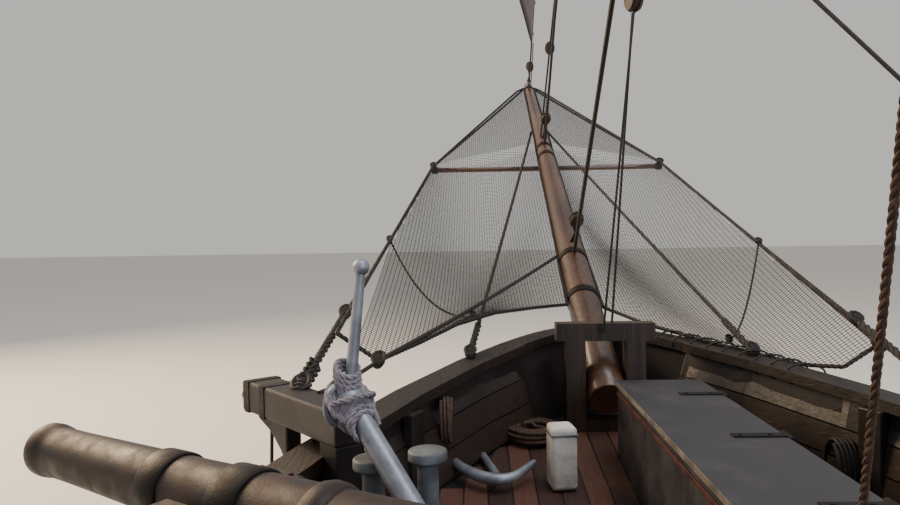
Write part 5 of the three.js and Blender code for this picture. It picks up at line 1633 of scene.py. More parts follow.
def makeBitts():
    base = deckAt(6.6)
    for side, label in shipSides:
        pile = newPile()
        for x, y in bitts["posts"]:
            rows = [(base + 0.02, 0.075), (base + 0.062, 0.075), (base + 0.072, 0.05), (base + 0.1, 0.0425),
                    (2.15, 0.0355), (2.176, 0.038), (2.182, 0.06), (2.186, 0.066), (2.213, 0.066),
                    (2.2185, 0.062), (2.2196, 0.054)]
            addLathe(pile, rows, (x, y * side, 0), None, 32)
        turn = Matrix.Rotation(-bitts["plateAngle"] * side, 3, "Z")
        addBox(pile, (6.68, 0.985 * side, base + 0.03), (0.36, 0.24, 0.06), turn)
        makePiece("turned_bitts_" + label, pile, greyPaint, smooth=40, bevel=0.003,
                  node="mooring_bitts_" + label)
    # a line made fast round the port bitts in figures of eight
    a, b = [Vector((x, y, 0)) for x, y in bitts["posts"]]
    axis = (b - a).normalized()
    side = Vector((-axis.y, axis.x, 0))
    path = []
    for n in range(bitts["turns"]):
        z = base + 0.16 + 0.035 * n
        for t in np.linspace(0, 2 * math.pi, 25)[:-1]:
            lobe = 0.157 * math.cos(t)
            path.append((a + b) / 2 + axis * lobe * 1.02 + side * 0.062 * math.sin(2 * t)
                        + up * (z + 0.035 * t / 6.28 + 0.012 * math.cos(t)))
    laidRopes("bitts_turns", [path], bitts["line"], manilaRope, coarse=1.3)


makeBitts()


# the beam's underside clears the cap rail, which falls 83 mm a metre going aft
cathead = {"root": (6.94, 1.185), "end": (7.54, 1.72), "wide": 0.15, "deep": 0.13,
           "bottom": 2.3 - 0.083 * (9 - 7.15) + 0.012}


def makeCatheads():
    railClear, wide, deep = cathead["bottom"], cathead["wide"], cathead["deep"]
    for side, label in shipSides:
        root = Vector((cathead["root"][0], cathead["root"][1] * side, 0))
        end = Vector((cathead["end"][0], cathead["end"][1] * side, 0))
        run = (end - root).normalized()
        turn = Matrix.Rotation(math.atan2(run.y, run.x), 3, "Z")
        middle = (root + end) / 2
        deck = deckAt(root.x)
        beam = newPile()
        addBox(beam, (middle.x, middle.y, railClear + 0.075), ((end - root).length, wide, deep), turn)
        foot = Vector((root.x + 0.06, root.y + 0.05 * side, 0))
        top = railClear + 0.01
        addBox(beam, (foot.x, foot.y, (deck + 0.004 + top) / 2), (0.13, 0.13, top - deck - 0.004), turn)
        # the knee under the beam, outside the rail
        across = Vector((-run.y, run.x, 0))
        out = end - run * 0.36
        shape = [(0.0, 0.0), (0.3, 0.0), (0.26, -0.035), (0.15, -0.07), (0.06, -0.13), (0.0, -0.2)]
        points = []
        for thick in (-0.035, 0.035):
            for u, v in shape:
                points.append(out + run * (0.02 + u) + across * thick + up * (railClear + 0.01 + v))
        addShape(beam, points, prismFaces(len(shape)))
        makePiece("hewn_cathead_" + label, beam, hullPaint, smooth=0, bevel=0.009,
                  node="cathead_" + label)
        iron = newPile()
        for back in (0.05, 0.2):
            c = end - run * back
            addBox(iron, (c.x, c.y, railClear + 0.075), (0.045, wide + 0.006, deep + 0.006), turn)
        eye = end - run * 0.12 + up * (railClear - 0.02)
        addTube(iron, circle(eye, run * 0.03, up * 0.03, 14), 0.008, 8, closed=True)
        # three links hang from the eye by the rail
        for n in range(3):
            c = end - run * 0.52 + up * (railClear - 0.06 - 0.055 * n)
            flat = run if n % 2 else across
            addTube(iron, circle(c, flat * 0.016, up * 0.036, 12), 0.007, 6, closed=True)
        for s in (-0.045, 0.0, 0.045):
            c = end + across * s + up * (railClear + 0.075)
            bolt = [(-0.005, 0.03), (0.004, 0.03), (0.006, 0.02)]
            addLathe(iron, bolt, c - run * 0.001, frameAlong(run), 16)
        makePiece("cathead_irons_" + label, iron, blackIron, smooth=35)


makeCatheads()


# Free ropes, each a tube along its path
def pathLength(path):
    return sum((Vector(b) - Vector(a)).length for a, b in zip(path[:-1], path[1:]))


def looseRope(name, path, radius, coat):
    pile = newPile()
    addTube(pile, path, radius, 10)
    piece = makePiece(name, pile, coat, smooth=80)
    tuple(path[0])
    pathLength(path)


def makeLooseRopes():
    # the tail that hangs from the port cathead's end
    start = Vector((7.43, 1.63, 2.158))
    tail = [start - up * 0.47 * k / 14 + Vector((0.004 * math.sin(k * 0.7), 0.003 * k / 14, 0))
            for k in range(15)]
    looseRope("cathead_tail", tail, 0.008, manilaRope)
    # a hank hung on the starboard bulwark by the locker
    place = Vector((7.72, -(railPoint(7.72).y - 0.125), 1.87))
    path = []
    for k in range(5 * 14):
        t = 2 * math.pi * k / 14
        path.append(place + Vector((0.075 * math.sin(t) * (1 + 0.02 * (k // 14)), 0.021 * (k / 14) - 0.02,
                                    0.115 * math.cos(t) - 0.03)))
    looseRope("bulwark_coil", path, 0.0085, tarredRope)
    place = Vector((7.86, railPoint(7.86).y - 0.145, 2.02))
    path = []
    for k in range(6 * 16):
        turns = k / 16
        t = 2 * math.pi * turns
        # three turns away from the planking, then three back over them, a diameter further out
        lay = min(turns, 6 - turns)
        wide = 0.055 + 0.018 * min(max((turns - 2.6) / 0.6, 0.0), 1.0)
        path.append(place + Vector((wide * math.sin(t), 0.03 - 0.0175 * lay, (wide + 0.035) * math.cos(t))))
    looseRope("port_coil", path, 0.008, manilaRope)
    path = []
    steps = 22
    for k in range(9 * steps):
        t = 2 * math.pi * k / steps
        layer, lay = divmod(k / steps, 3)
        r = 0.085 + 0.026 * (lay if layer % 2 == 0 else 3 - lay)
        path.append(Vector((8.36 + r * math.cos(t), 0.43 + 0.92 * r * math.sin(t),
                            deckAt(8.36) + 0.026 + 0.0245 * layer)))
    looseRope("foredeck_coil", path, 0.012, manilaRope)


makeLooseRopes()


# Taut lines in view: the fore top's fall to the deck, the starboard downhaul, the stay tackle
rigLines = {
    "fall": ((5.985, -0.06, 1.66), (3.9, 0.436, 8.5), 0.0085),
    "downhaul": ((6.3, -1.78, 2.0), (7.55, 0.0, 4.66), 0.009),
    "block": (8.07, -0.09, 4.12),
}


def blockModel():
    pile = newPile()
    shell = [(-0.034, 0.028), (-0.03, 0.05), (-0.012, 0.058), (-0.008, 0.05), (0.008, 0.05), (0.012, 0.058),
             (0.03, 0.05), (0.034, 0.028)]
    addLathe(pile, shell, (0, 0, 0), frameAlong(toPort), 18)
    pile["points"] = [(x, y, z * 1.35) for x, y, z in pile["points"]]
    return pile


def makeRunningRigging():
    low, high, radius = rigLines["fall"]
    laidRopes("fore_top_fall", [sagging(low, high, 0.0, 4)], radius, manilaRope, coarse=0.9)
    low, high, radius = rigLines["downhaul"]
    thin = [(sagging(low, high, 0.02, 12), radius)]
    block = Vector(rigLines["block"])
    blocks = [(block, Matrix.Rotation(0.3, 3, "Z"), 1.0)]
    for start, end in ((block + up * 0.08, (7.35, 0, 4.83)), (block - up * 0.07, (8.42, 0.02, 2.36)),
                       (block + Vector((0.03, 0, -0.07)), (8.5, -0.04, 2.36))):
        thin.append(([start, Vector(end)], 0.007))
    # jib tacks: strops from the sails' corners down to the bowsprit, and their tackles
    for label, along in (("outer", 5.35), ("inner", 3.5)):
        jib = jibs[label]
        tack = stayAt(jib["stay"], jib["tack"], stays[jib["stay"]][2] + 0.004)
        deck = spritAt(along, 0.02, 0.07)
        thin.append(([tack, deck], 0.009))
        thin.append(([tack + Vector((0, -0.02, 0)), deck + Vector((0.02, -0.03, 0))], 0.006))
        blocks.append((tack.lerp(deck, 0.5), Matrix.Rotation(1.2, 3, "Z"), 0.8))
        clew = Vector(jib["clew"])
        pin = railPoint(clew.x - 0.9) - Vector((0, 0.1, 0.12))
        thin.append((sagging(clew, pin, 0.05, 10), 0.009))
        blocks.append((clew.lerp(pin, 0.04), Matrix.Rotation(0.6, 3, "Z"), 0.9))
        # halyard from the head to the mast
        peak = stayAt(jib["stay"], jib["head"])
        top = Vector((masts["fore"]["x"] + 0.09, 0.03, peak.z + 1.0))
        thin.append(([peak, top], 0.008))
    # hearts and lanyards at the feet of the stays
    for name, (along, height, radius) in stays.items():
        foot = spritAt(along, 0, spritRadius(along) + 0.02)
        run = (Vector((masts["fore"]["x"], 0, height)) - foot).normalized()
        for k in range(5):
            apart = toPort * (k - 2) * 0.012
            thin.append(([foot + apart + run * 0.03, foot - apart + run * 0.26], 0.005))
        blocks.append((foot + run * 0.29, frameAlong(run), 0.75 + 12 * radius))
    lines("running_lines", thin, tarredRope, sides=6)
    copies("blocks", blockModel(), blocks, darkOakZ)
    eye = newPile()
    spot = Vector(rigLines["fall"][0])
    addTube(eye, circle(spot - up * 0.005, toPort * 0.032, up * 0.03, 14), 0.008, 8, closed=True)
    plate = (spot.x, spot.y, deckAt(spot.x) + 0.004)
    addLathe(eye, [(0, 0.05), (0.008, 0.05), (0.012, 0.02)], plate, None, 20)
    addLathe(eye, [(0.0, 0.012), (0.03, 0.012)], plate, None, 12)
    makePiece("deck_eye", eye, blackIron)


makeRunningRigging()


# Things stowed on the foredeck, as seen past the anchor
# the white box, and the trim on the long locker
stowed = {"boxX": 7.78, "boxY": 0.335, "boxTall": 0.3, "boxTurn": 0.12, "stripX": 7.085,
          "straps": (6.4, 7.1, 7.8)}


def makeStowedGear():
    deck = deckAt(7.8) + 0.005
    pile = newPile()
    curve = smoothPath([(8.0, 0.9, deck + 0.1), (7.84, 0.82, deck + 0.075), (7.73, 0.7, deck + 0.06),
                        (7.73, 0.58, deck + 0.06), (7.86, 0.46, deck + 0.09)], 7)
    radii = [0.016 + 0.013 * math.sin(math.pi * k / (len(curve) - 1)) for k in range(len(curve))]
    addTube(pile, curve, radii, 14)
    addTube(pile, [(7.725, 0.64, deck + 0.06), (8.15, 0.72, deck + 0.05)], 0.02, 12)
    makePiece("spare_kedge", pile, silverPaint)
    box = newPile()
    x, y, tall = stowed["boxX"], stowed["boxY"], stowed["boxTall"]
    base = deckAt(x) + 0.005
    turn = Matrix.Rotation(stowed["boxTurn"], 3, "Z")
    addBox(box, (x, y, base + tall / 2), (0.14, 0.125, tall), turn)
    piece = makePiece("white_locker_box", box, whitePaint, smooth=40, bevel=0.022)
    piece.modifiers["worn_edges"].segments = 4
    lid = newPile()
    addBox(lid, (x, y, base + tall - 0.038), (0.145, 0.13, 0.012), turn)
    makePiece("box_lid_lip", lid, greyPaint, smooth=0, bevel=0.003)
    # the lid's pale edging and the red strip under it, on the long grey locker
    trim, strip = newPile(), newPile()
    for y in (0.0085, -0.4285):
        addBox(trim, (stowed["stripX"], y, 2.136), (2.1, 0.006, 0.026))
    makePiece("lid_edging", trim, trimPaint, "locker_lid", smooth=0, bevel=0.002)
    addBox(strip, (stowed["stripX"], 0.004, 2.085), (2.04, 0.008, 0.022))
    redPaint = blotchy("faded_red_strip", [(0.3, "#2a100d"), (0.6, "#401a15"), (0.8, "#552a22")], 0.1,
                       (0.5, 0.7), 0.0006)
    makePiece("locker_strip", strip, redPaint, smooth=0, bevel=0.002)
    straps = newPile()
    for x in stowed["straps"]:
        addBox(straps, (x, -0.33, 2.1525), (0.045, 0.2, 0.005))
        addLathe(straps, [(-0.05, 0.006), (-0.048, 0.009), (0.048, 0.009), (0.05, 0.006)], (x, -0.437, 2.15),
                 frameAlong(forward), 12)
        for y in (-0.26, -0.37):
            addLathe(straps, [(0, 0.008), (0.004, 0.007), (0.005, 0.003)], (x, y, 2.155), None, 10)
    makePiece("lid_hinges", straps, blackIron, "locker_lid", smooth=35)
    # chain lying by the port gun's breech
    links = []
    path = smoothPath([(6.28, 1.3, 0), (6.34, 1.2, 0), (6.43, 1.17, 0), (6.5, 1.1, 0), (6.46, 1.0, 0),
                       (6.36, 0.98, 0)], 5)
    for n, p in enumerate(path[::2]):
        q = path[min(2 * n + 1, len(path) - 1)] - p
        along = q.normalized() if q.length > 0 else forward
        tilt = Matrix((along, Vector((-along.y, along.x, 0)), up)).transposed()
        spin = Matrix.Rotation(0.6 if n % 2 else -0.7, 3, "X")
        links.append((Vector((p.x, p.y, deckAt(p.x) + 0.03)), tilt @ spin, 1.0))
    link = newPile()
    addTube(link, circle((0, 0, 0), forward * 0.042, toPort * 0.024, 12), 0.009, 6, closed=True)
    copies("deck_chain", link, links, blackIron)


makeStowedGear()
print("foredeck gear made")


# Stern cabin and deckhouse, with the CAD source's numbers in metres: ends, height, and the sides' lean inward
cabin = {"front": -3.6, "stern": -8.8, "tall": 1.7, "lean": 0.15}
house = {"front": 0.7, "aft": -1.5, "half": 0.85, "top": 2.55}


# Framed windows: casing, sash, bars and an old pane, set in the CAD's openings
def addWindow(wood, glass, centre, right, out, width, height, bars=(2, 1), deep=0.06):
    right, out = Vector(right).normalized(), Vector(out).normalized()
    above = out.cross(right)
    if above.z < 0:
        above = -above
    turn = Matrix((right, out, above)).transposed()
    centre = Vector(centre)

    def piece(u, v, sizeU, sizeV, depth, shift):
        addBox(wood, centre + right * u + above * v + out * shift, (sizeU, depth, sizeV), turn)

    for s in (-1, 1):
        piece(0, s * (height / 2 + 0.018), width + 0.12, 0.055, 0.022, 0.013)
        piece(s * (width / 2 + 0.018), 0, 0.055, height - 0.02, 0.022, 0.013)
        piece(0, s * (height / 2 - 0.016), width - 0.002, 0.03, deep, -deep / 2)
        piece(s * (width / 2 - 0.016), 0, 0.03, height - 0.062, deep, -deep / 2)
    piece(0, -height / 2 - 0.055, width + 0.17, 0.022, 0.05, 0.026)
    columns, rows = bars
    for k in range(columns):
        piece(width * ((k + 1) / (columns + 1) - 0.5), 0, 0.014, height - 0.06, 0.02, -0.035)
    for k in range(rows):
        piece(0, height * ((k + 1) / (rows + 1) - 0.5), width - 0.06, 0.014, 0.018, -0.035)
    addBox(glass, centre - out * 0.036, (width - 0.04, 0.005, height - 0.04), turn)


def makeWindows():
    wood, glass, giltFrames = newPile(), newPile(), newPile()
    lean = math.atan(cabin["lean"] / cabin["tall"])
    for side in (1, -1):
        for x in (-5.0, -6.4):
            slope = (deckHalf(x + 0.3) - deckHalf(x - 0.3)) / 0.6
            half = deckHalf(x) - cabin["lean"] * 1.05 / cabin["tall"] + 0.004
            face = Vector((x, side * half, deckAt(x) + 1.05))
            out = Vector((-slope, side, math.tan(lean)))
            addWindow(wood, glass, face, Vector((1, side * slope, 0)), out, 0.6, 0.4, (3, 1))
        front = Vector((cabin["front"] + 0.002, side * 1.15, deckAt(cabin["front"]) + 1.05))
        addWindow(wood, glass, front, (0, 1, 0), (1, 0, 0), 0.46, 0.42, (1, 1))
    for y in (-0.9, 0.0, 0.9):
        stern = Vector((cabin["stern"] - 0.002, y, deckAt(cabin["stern"]) + 0.95))
        addWindow(giltFrames, glass, stern, (0, 1, 0), (-1, 0, 0), 0.56, 0.62, (2, 3))
    for side in (1, -1):
        for x in (-1.0, 0.2):
            face = Vector((x, side * (house["half"] + 0.002), house["top"] - 0.42))
            addWindow(wood, glass, face, (1, 0, 0), (0, side, 0), 0.48, 0.38, (1, 1), 0.05)
    makePiece("window_frames", wood, darkOakX, smooth=0, bevel=0.003)
    makePiece("stern_window_frames", giltFrames, dullGold, smooth=0, bevel=0.003)
    makePiece("window_panes", glass, paneGlass, smooth=0)


makeWindows()


# Panelled doors on their own bodies, with strap hinges and a ring
def addDoor(leaf, iron, faceX, facing, width, height, thickness, sillGap):
    gap = 0.007
    sill = deckAt(faceX) + sillGap
    tall = height - gap - sillGap
    half = width / 2 - gap
    out = frameAlong(Vector((facing, 0, 0)))
    x = faceX - facing * thickness / 2
    rail = 0.09
    for y in (-1, 1):
        addBox(leaf, (x, y * (half - rail / 2), sill + tall / 2), (thickness, rail, tall))
    for z in (rail / 2, tall * 0.52, tall - rail / 2):
        addBox(leaf, (x, 0, sill + z), (thickness * 0.98, 2 * half - 2 * rail, rail))
    addBox(leaf, (x, 0, sill + tall / 2), (thickness * 0.45, 2 * half - rail, tall - rail))
    for low, high in ((rail, tall * 0.52 - rail / 2), (tall * 0.52 + rail / 2, tall - rail)):
        for y in (-0.5, 0.5):
            addBox(leaf, (x, y * (half - rail), sill + (low + high) / 2),
                   (thickness * 0.75, half - rail - 0.05, high - low - 0.05))
    for z in (0.16, tall - 0.2):
        addBox(iron, (faceX + facing * 0.0015, width / 2 - 0.17, sill + z), (0.005, 0.24, 0.035))
        for k in range(3):
            addLathe(iron, [(0, 0.008), (0.004, 0.007), (0.006, 0.003)],
                     (faceX + facing * 0.004, width / 2 - 0.09 - 0.08 * k, sill + z), out, 10)
        addLathe(iron, [(-0.05, 0.009), (-0.045, 0.0118), (0.045, 0.0118), (0.05, 0.009)],
                 (faceX - facing * 0.001, width / 2 - 0.0124, sill + z), None, 14)
    knob = Vector((faceX, -width * 0.36, sill + 0.7 - (sillGap - 0.007)))
    addLathe(iron, [(0.0, 0.028), (0.006, 0.028), (0.01, 0.012), (0.03, 0.01), (0.036, 0.018), (0.05, 0.023),
                    (0.058, 0.016), (0.06, 0.006)], knob, out, 18)


def makeDoors():
    # face, way it faces, width, height, thickness and the gap over the sill; each node has a body of its name
    for node, data in (("cabin_door", (cabin["front"], 1, 0.64, 1.48, 0.05, 0.007)),
                       ("deckhouse_door", (house["aft"], -1, 0.6, 1.08, 0.04, 0.022))):
        leaf, iron = newPile(), newPile()
        addDoor(leaf, iron, *data)
        makePiece("panelled_" + node, leaf, darkOakZ, node, smooth=0, bevel=0.004, node=node)
        makePiece("irons_of_" + node, iron, blackIron, node, smooth=35)


makeDoors()


# Steering wheel, turned and banded
wheel = {"x": -5.0, "z": 4.0662, "radius": 0.374, "handle": 0.52}


def makeWheel():
    pile, brass = newPile(), newPile()
    place = Vector((wheel["x"], 0, wheel["z"]))
    axle = frameAlong(forward)
    r = wheel["radius"]
    section = [(-0.024, r - 0.03), (-0.028, r - 0.02), (-0.028, r + 0.018), (-0.022, r + 0.03),
               (0.022, r + 0.03), (0.028, r + 0.018), (0.028, r - 0.02), (0.024, r - 0.03),
               (-0.024, r - 0.03)]
    addLathe(pile, section, place, axle, 64)
    addLathe(pile, [(-0.05, 0.03), (-0.048, 0.05), (-0.03, 0.062), (-0.02, 0.07), (0.02, 0.07), (0.03, 0.06),
                    (0.06, 0.055), (0.1, 0.06), (0.129, 0.06), (0.1295, 0.03)], place, axle, 32)
    for k in range(8):
        angle = k * math.pi / 4
        out = Vector((0, math.cos(angle), math.sin(angle)))
        spoke = [(0.05, 0.016), (0.12, 0.012), (0.16, 0.0165), (0.175, 0.0125), (0.19, 0.0165), (0.25, 0.012),
                 (0.33, 0.014), (0.41, 0.014), (0.415, 0.011), (0.43, 0.011), (0.45, 0.0175), (0.485, 0.0185),
                 (wheel["handle"] - 0.01, 0.015), (wheel["handle"], 0.006)]
        addLathe(pile, spoke, place, frameAlong(out), 14)
    addLathe(brass, [(-0.0275, r - 0.009), (-0.0305, r - 0.007), (-0.0305, r + 0.007), (-0.0275, r + 0.009),
                     (-0.0275, r - 0.009)], place, axle, 64)
    addLathe(brass, [(-0.055, 0.006), (-0.054, 0.024), (-0.05, 0.026), (-0.046, 0.026)], place, axle, 24)
    for k in range(8):
        angle = (k + 0.5) * math.pi / 4
        spot = place + Vector((-0.028, r * math.cos(angle), r * math.sin(angle)))
        addLathe(brass, [(-0.004, 0.003), (-0.003, 0.007), (0.001, 0.008)], spot, axle, 10)
    makePiece("turned_steering_wheel", pile, sparPineY, "steering_wheel", smooth=32,
              node="steering_wheel")
    makePiece("wheel_brasses", brass, bronze, "steering_wheel", smooth=32)


makeWheel()


# Quarterdeck rail with turned balusters
def quarterPath():
    # the rail stands this far in from the roof's edge
    inset = 0.11
    corners = (cabin["front"], -5.4, -7.1, cabin["stern"])
    xs = (corners[0] - inset, *corners[1:3], corners[3] + inset)
    port = [Vector((x, deckHalf(p) - cabin["lean"] - inset, deckAt(x) + cabin["tall"]))
            for x, p in zip(xs, corners)]
    return port + [Vector((p.x, -p.y, p.z)) for p in reversed(port)]


def makeQuarterRail():
    path = quarterPath()
    wood = newPile()
    rail = [p + up * 0.86 for p in path]
    for a, b in zip(rail[:-1], rail[1:]):
        run = (b - a).normalized()
        addBeam(wood, a - run * 0.03, b + run * 0.03, 0.1, 0.05)
        addBeam(wood, a - up * 0.035 - run * 0.02, b - up * 0.035 + run * 0.02, 0.07, 0.03)
        addBeam(wood, a - up * 0.76, b - up * 0.76, 0.07, 0.05)
    spots = []
    for i, (a, b) in enumerate(zip(path[:-1], path[1:])):
        posts = 5 if i == 3 else 2
        for k in range(posts):
            foot = a.lerp(b, k / posts)
            addBox(wood, foot + up * 0.42, (0.085, 0.085, 0.84))
            after = a.lerp(b, (k + 1) / posts)
            count = max(int((after - foot).length / 0.155), 1)
            spots += [(foot.lerp(after, (n + 0.5) / count) + up * 0.12, Matrix.Identity(3), 1.07)
                      for n in range(count)]
    addBox(wood, path[-1] + up * 0.42, (0.085, 0.085, 0.84))
    makePiece("moulded_quarterdeck_rail", wood, sparPineX, smooth=0, bevel=0.006,
              node="quarterdeck_rail")
    baluster = newPile()
    rows = [(0.0, 0.022), (0.07, 0.022), (0.08, 0.014), (0.1, 0.013), (0.16, 0.024), (0.22, 0.029),
            (0.28, 0.025), (0.36, 0.015), (0.44, 0.012), (0.5, 0.013), (0.52, 0.019), (0.54, 0.013),
            (0.57, 0.022), (0.66, 0.022)]
    addLathe(baluster, rows, (0, 0, 0), None, 10)
    copies("turned_balusters", baluster, spots, sparPineZ)


makeQuarterRail()


# Stern lantern: a hexagonal glazed frame under a domed cap
lantern = {"out": 0.2, "low": 0.118, "high": 0.172, "bar": 0.016}


def makeLantern():
    z = deckAt(cabin["stern"]) + cabin["tall"]
    x = cabin["stern"] - lantern["out"]
    frameWork, glass, flame = newPile(), newPile(), newPile()
    addBox(frameWork, (cabin["stern"] - 0.13, 0, z - 0.12), (0.258, 0.05, 0.05))
    addLathe(frameWork, [(z - 0.15, 0.02), (z - 0.1, 0.034), (z - 0.05, 0.026), (z + 0.1, 0.022),
                         (z + 0.16, 0.04), (z + 0.18, 0.1)], (x, 0, 0), None, 20)
    addLathe(frameWork, [(z + 0.18, 0.02), (z + 0.18, 0.118), (z + 0.205, 0.128), (z + 0.21, 0.1)],
             (x, 0, 0), Matrix.Rotation(math.pi / 6, 3, "Z"), 6)
    addLathe(frameWork, [(z + 0.61, 0.15), (z + 0.615, 0.18), (z + 0.645, 0.19), (z + 0.66, 0.175),
                         (z + 0.71, 0.15), (z + 0.76, 0.1), (z + 0.79, 0.05), (z + 0.8, 0.03),
                         (z + 0.82, 0.034), (z + 0.84, 0.024), (z + 0.865, 0.005)], (x, 0, 0), None, 24)
    for k in range(6):
        a, b = (k * math.pi / 3, (k + 1) * math.pi / 3)
        low, high = [[Vector((x + r * math.cos(t), r * math.sin(t), z + rise)) for t in (a, b)]
                     for r, rise in ((lantern["low"], 0.2), (lantern["high"], 0.63))]
        addBeam(frameWork, low[0], high[0], lantern["bar"], lantern["bar"])
        for share in (0.33, 0.66):
            addBeam(frameWork, low[0].lerp(high[0], share), low[1].lerp(high[1], share), 0.009, 0.009)
        inner = [p + (Vector((x, 0, p.z)) - p) * 0.04 for p in (low[0], low[1], high[1], high[0])]
        addShape(glass, inner, [(0, 1, 2, 3)])
    addLathe(flame, [(z + 0.22, 0.03), (z + 0.34, 0.03), (z + 0.345, 0.008), (z + 0.37, 0.014),
                     (z + 0.4, 0.012), (z + 0.43, 0.003)], (x, 0, 0), None, 14)
    makePiece("glazed_stern_lantern", frameWork, gilt, smooth=40, node="stern_lantern")
    makePiece("lantern_glass", glass, amberGlass, smooth=0)
    makePiece("lantern_candle", flame, whitePaint)


makeLantern()


# Ensign staff and a plain flag, its cloth streaming with folds that grow toward the fly
ensign = {"foot": (-8.74, 1.2, 3.22), "head": (-9.3, 1.2, 5.86), "low": 0.62, "high": 0.97,
          "flyLow": (-10.15, 1.23, 4.76), "flyHigh": (-10.3, 1.23, 5.61)}


def makeEnsign():
    foot, head = Vector(ensign["foot"]), Vector(ensign["head"])
    run = (head - foot).normalized()
    tall = (head - foot).length
    pile = newPile()
    addLathe(pile, [(0, 0.032), (tall * 0.5, 0.028), (tall - 0.05, 0.022), (tall - 0.045, 0.03),
                    (tall - 0.02, 0.034), (tall, 0.028), (tall + 0.006, 0.01)], foot, frameAlong(run), 18)
    for share in (ensign["low"], ensign["high"]):
        spot = foot.lerp(head, share)
        addTube(pile, circle(spot, Vector((0.034, 0, 0.008)), toPort * 0.034, 16), 0.006, 6, closed=True)
    makePiece("ensign_staff", pile, sparPineZ, smooth=35, node="ensign")
    corners = [foot.lerp(head, ensign["low"]), Vector(ensign["flyLow"]), foot.lerp(head, ensign["high"]),
               Vector(ensign["flyHigh"])]
    out = Vector((-1, 0, 0.25)).normalized()

    def pointAt(u, v):
        luff = corners[0].lerp(corners[2], v) + out * 0.026
        leech = corners[1].lerp(corners[3], v)
        p = luff.lerp(leech, u)
        fold = math.sin(u * 9.5 + v * 1.6) * 0.06 * u + math.sin(u * 21 - v * 3.0) * 0.018 * u
        droop = -0.05 * math.sin(math.pi * u) * (1 - v)
        return p + Vector((0.02 * math.sin(v * 7 + u * 4) * u, 0.045 * math.sin(math.pi * u) + fold, droop))

    width = ((corners[1] - corners[0]).length + (corners[3] - corners[2]).length) / 2
    height = ((corners[2] - corners[0]).length + (corners[3] - corners[1]).length) / 2
    rows, columns = 34, 48
    cloth = newPile()
    grid = [pointAt(i / columns, j / rows) for j in range(rows + 1) for i in range(columns + 1)]
    addShape(cloth, grid, gridFaces(columns, rows), gridUvs(width, height, columns, rows))
    flag = makePiece("plain_ensign", cloth, flagCloth, smooth=180)
    thick = flag.modifiers.new("hemmed_cloth", "SOLIDIFY")
    thick.thickness = 0.003
    thick.offset = 0


makeEnsign()


# Slatted benches and the hatch's grating
bench = {"x": 0.05, "y": 2.0, "top": 1.7737, "length": 2.7, "slats": 4, "pitch": 0.0965,
         "legs": (-1.2, 0.0, 1.2)}
hatch = {"x": 2.05, "half": 0.485, "bars": 9, "pitch": 0.0978, "rings": (-0.3, 0.3)}


def makeDeckFurniture():
    for side, label in shipSides:
        pile = newPile()
        y, top = bench["y"] * side, bench["top"]
        for k in range(bench["slats"]):
            shift = (k - (bench["slats"] - 1) / 2) * bench["pitch"]
            addBox(pile, (bench["x"], y + shift, top - 0.02), (bench["length"], 0.088, 0.04))
        for leg in bench["legs"]:
            x = bench["x"] + leg
            base = deckAt(x) + 0.003
            addBox(pile, (x, y, top - 0.07), (0.06, 0.34, 0.06))
            for s in (-0.13, 0.13):
                addBox(pile, (x, y + s, (base + top - 0.1) / 2), (0.06, 0.07, top - 0.1 - base))
        addBox(pile, (bench["x"], y, 1.5), (2.4, 0.04, 0.06))
        makePiece("slatted_bench_" + label, pile, benchWood, smooth=0, bevel=0.005,
                  node="bench_" + label)
    grate = newPile()
    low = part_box("hatch_lid")[0][2]
    x = hatch["x"]
    for s in (-hatch["half"], hatch["half"]):
        addBox(grate, (x, s, low + 0.025), (1.06, 0.09, 0.05))
        addBox(grate, (x + s, 0, low + 0.025), (0.09, 0.88, 0.05))
    for k in range(hatch["bars"]):
        shift = (k - (hatch["bars"] - 1) / 2) * hatch["pitch"]
        addBox(grate, (x + shift, 0, low + 0.021), (0.04, 0.9, 0.038))
        addBox(grate, (x, shift, low + 0.029), (0.9, 0.04, 0.038))
    makePiece("hatch_grating", grate, darkOakX, "hatch_lid", smooth=0, bevel=0.003,
              node="hatch_lid")
    rings = newPile()
    for y in hatch["rings"]:
        addTube(rings, circle((x - 0.45, y, low + 0.056), forward * 0.03, toPort * 0.03, 16), 0.006, 8,
                closed=True)
    makePiece("hatch_rings", rings, blackIron, "hatch_lid")


makeDeckFurniture()


# Windlass barrel with whelps and a toothed iron rim
windlass = {"x": 4.05, "whelps": 8, "teeth": 16, "tip": 0.198, "root": 0.172}


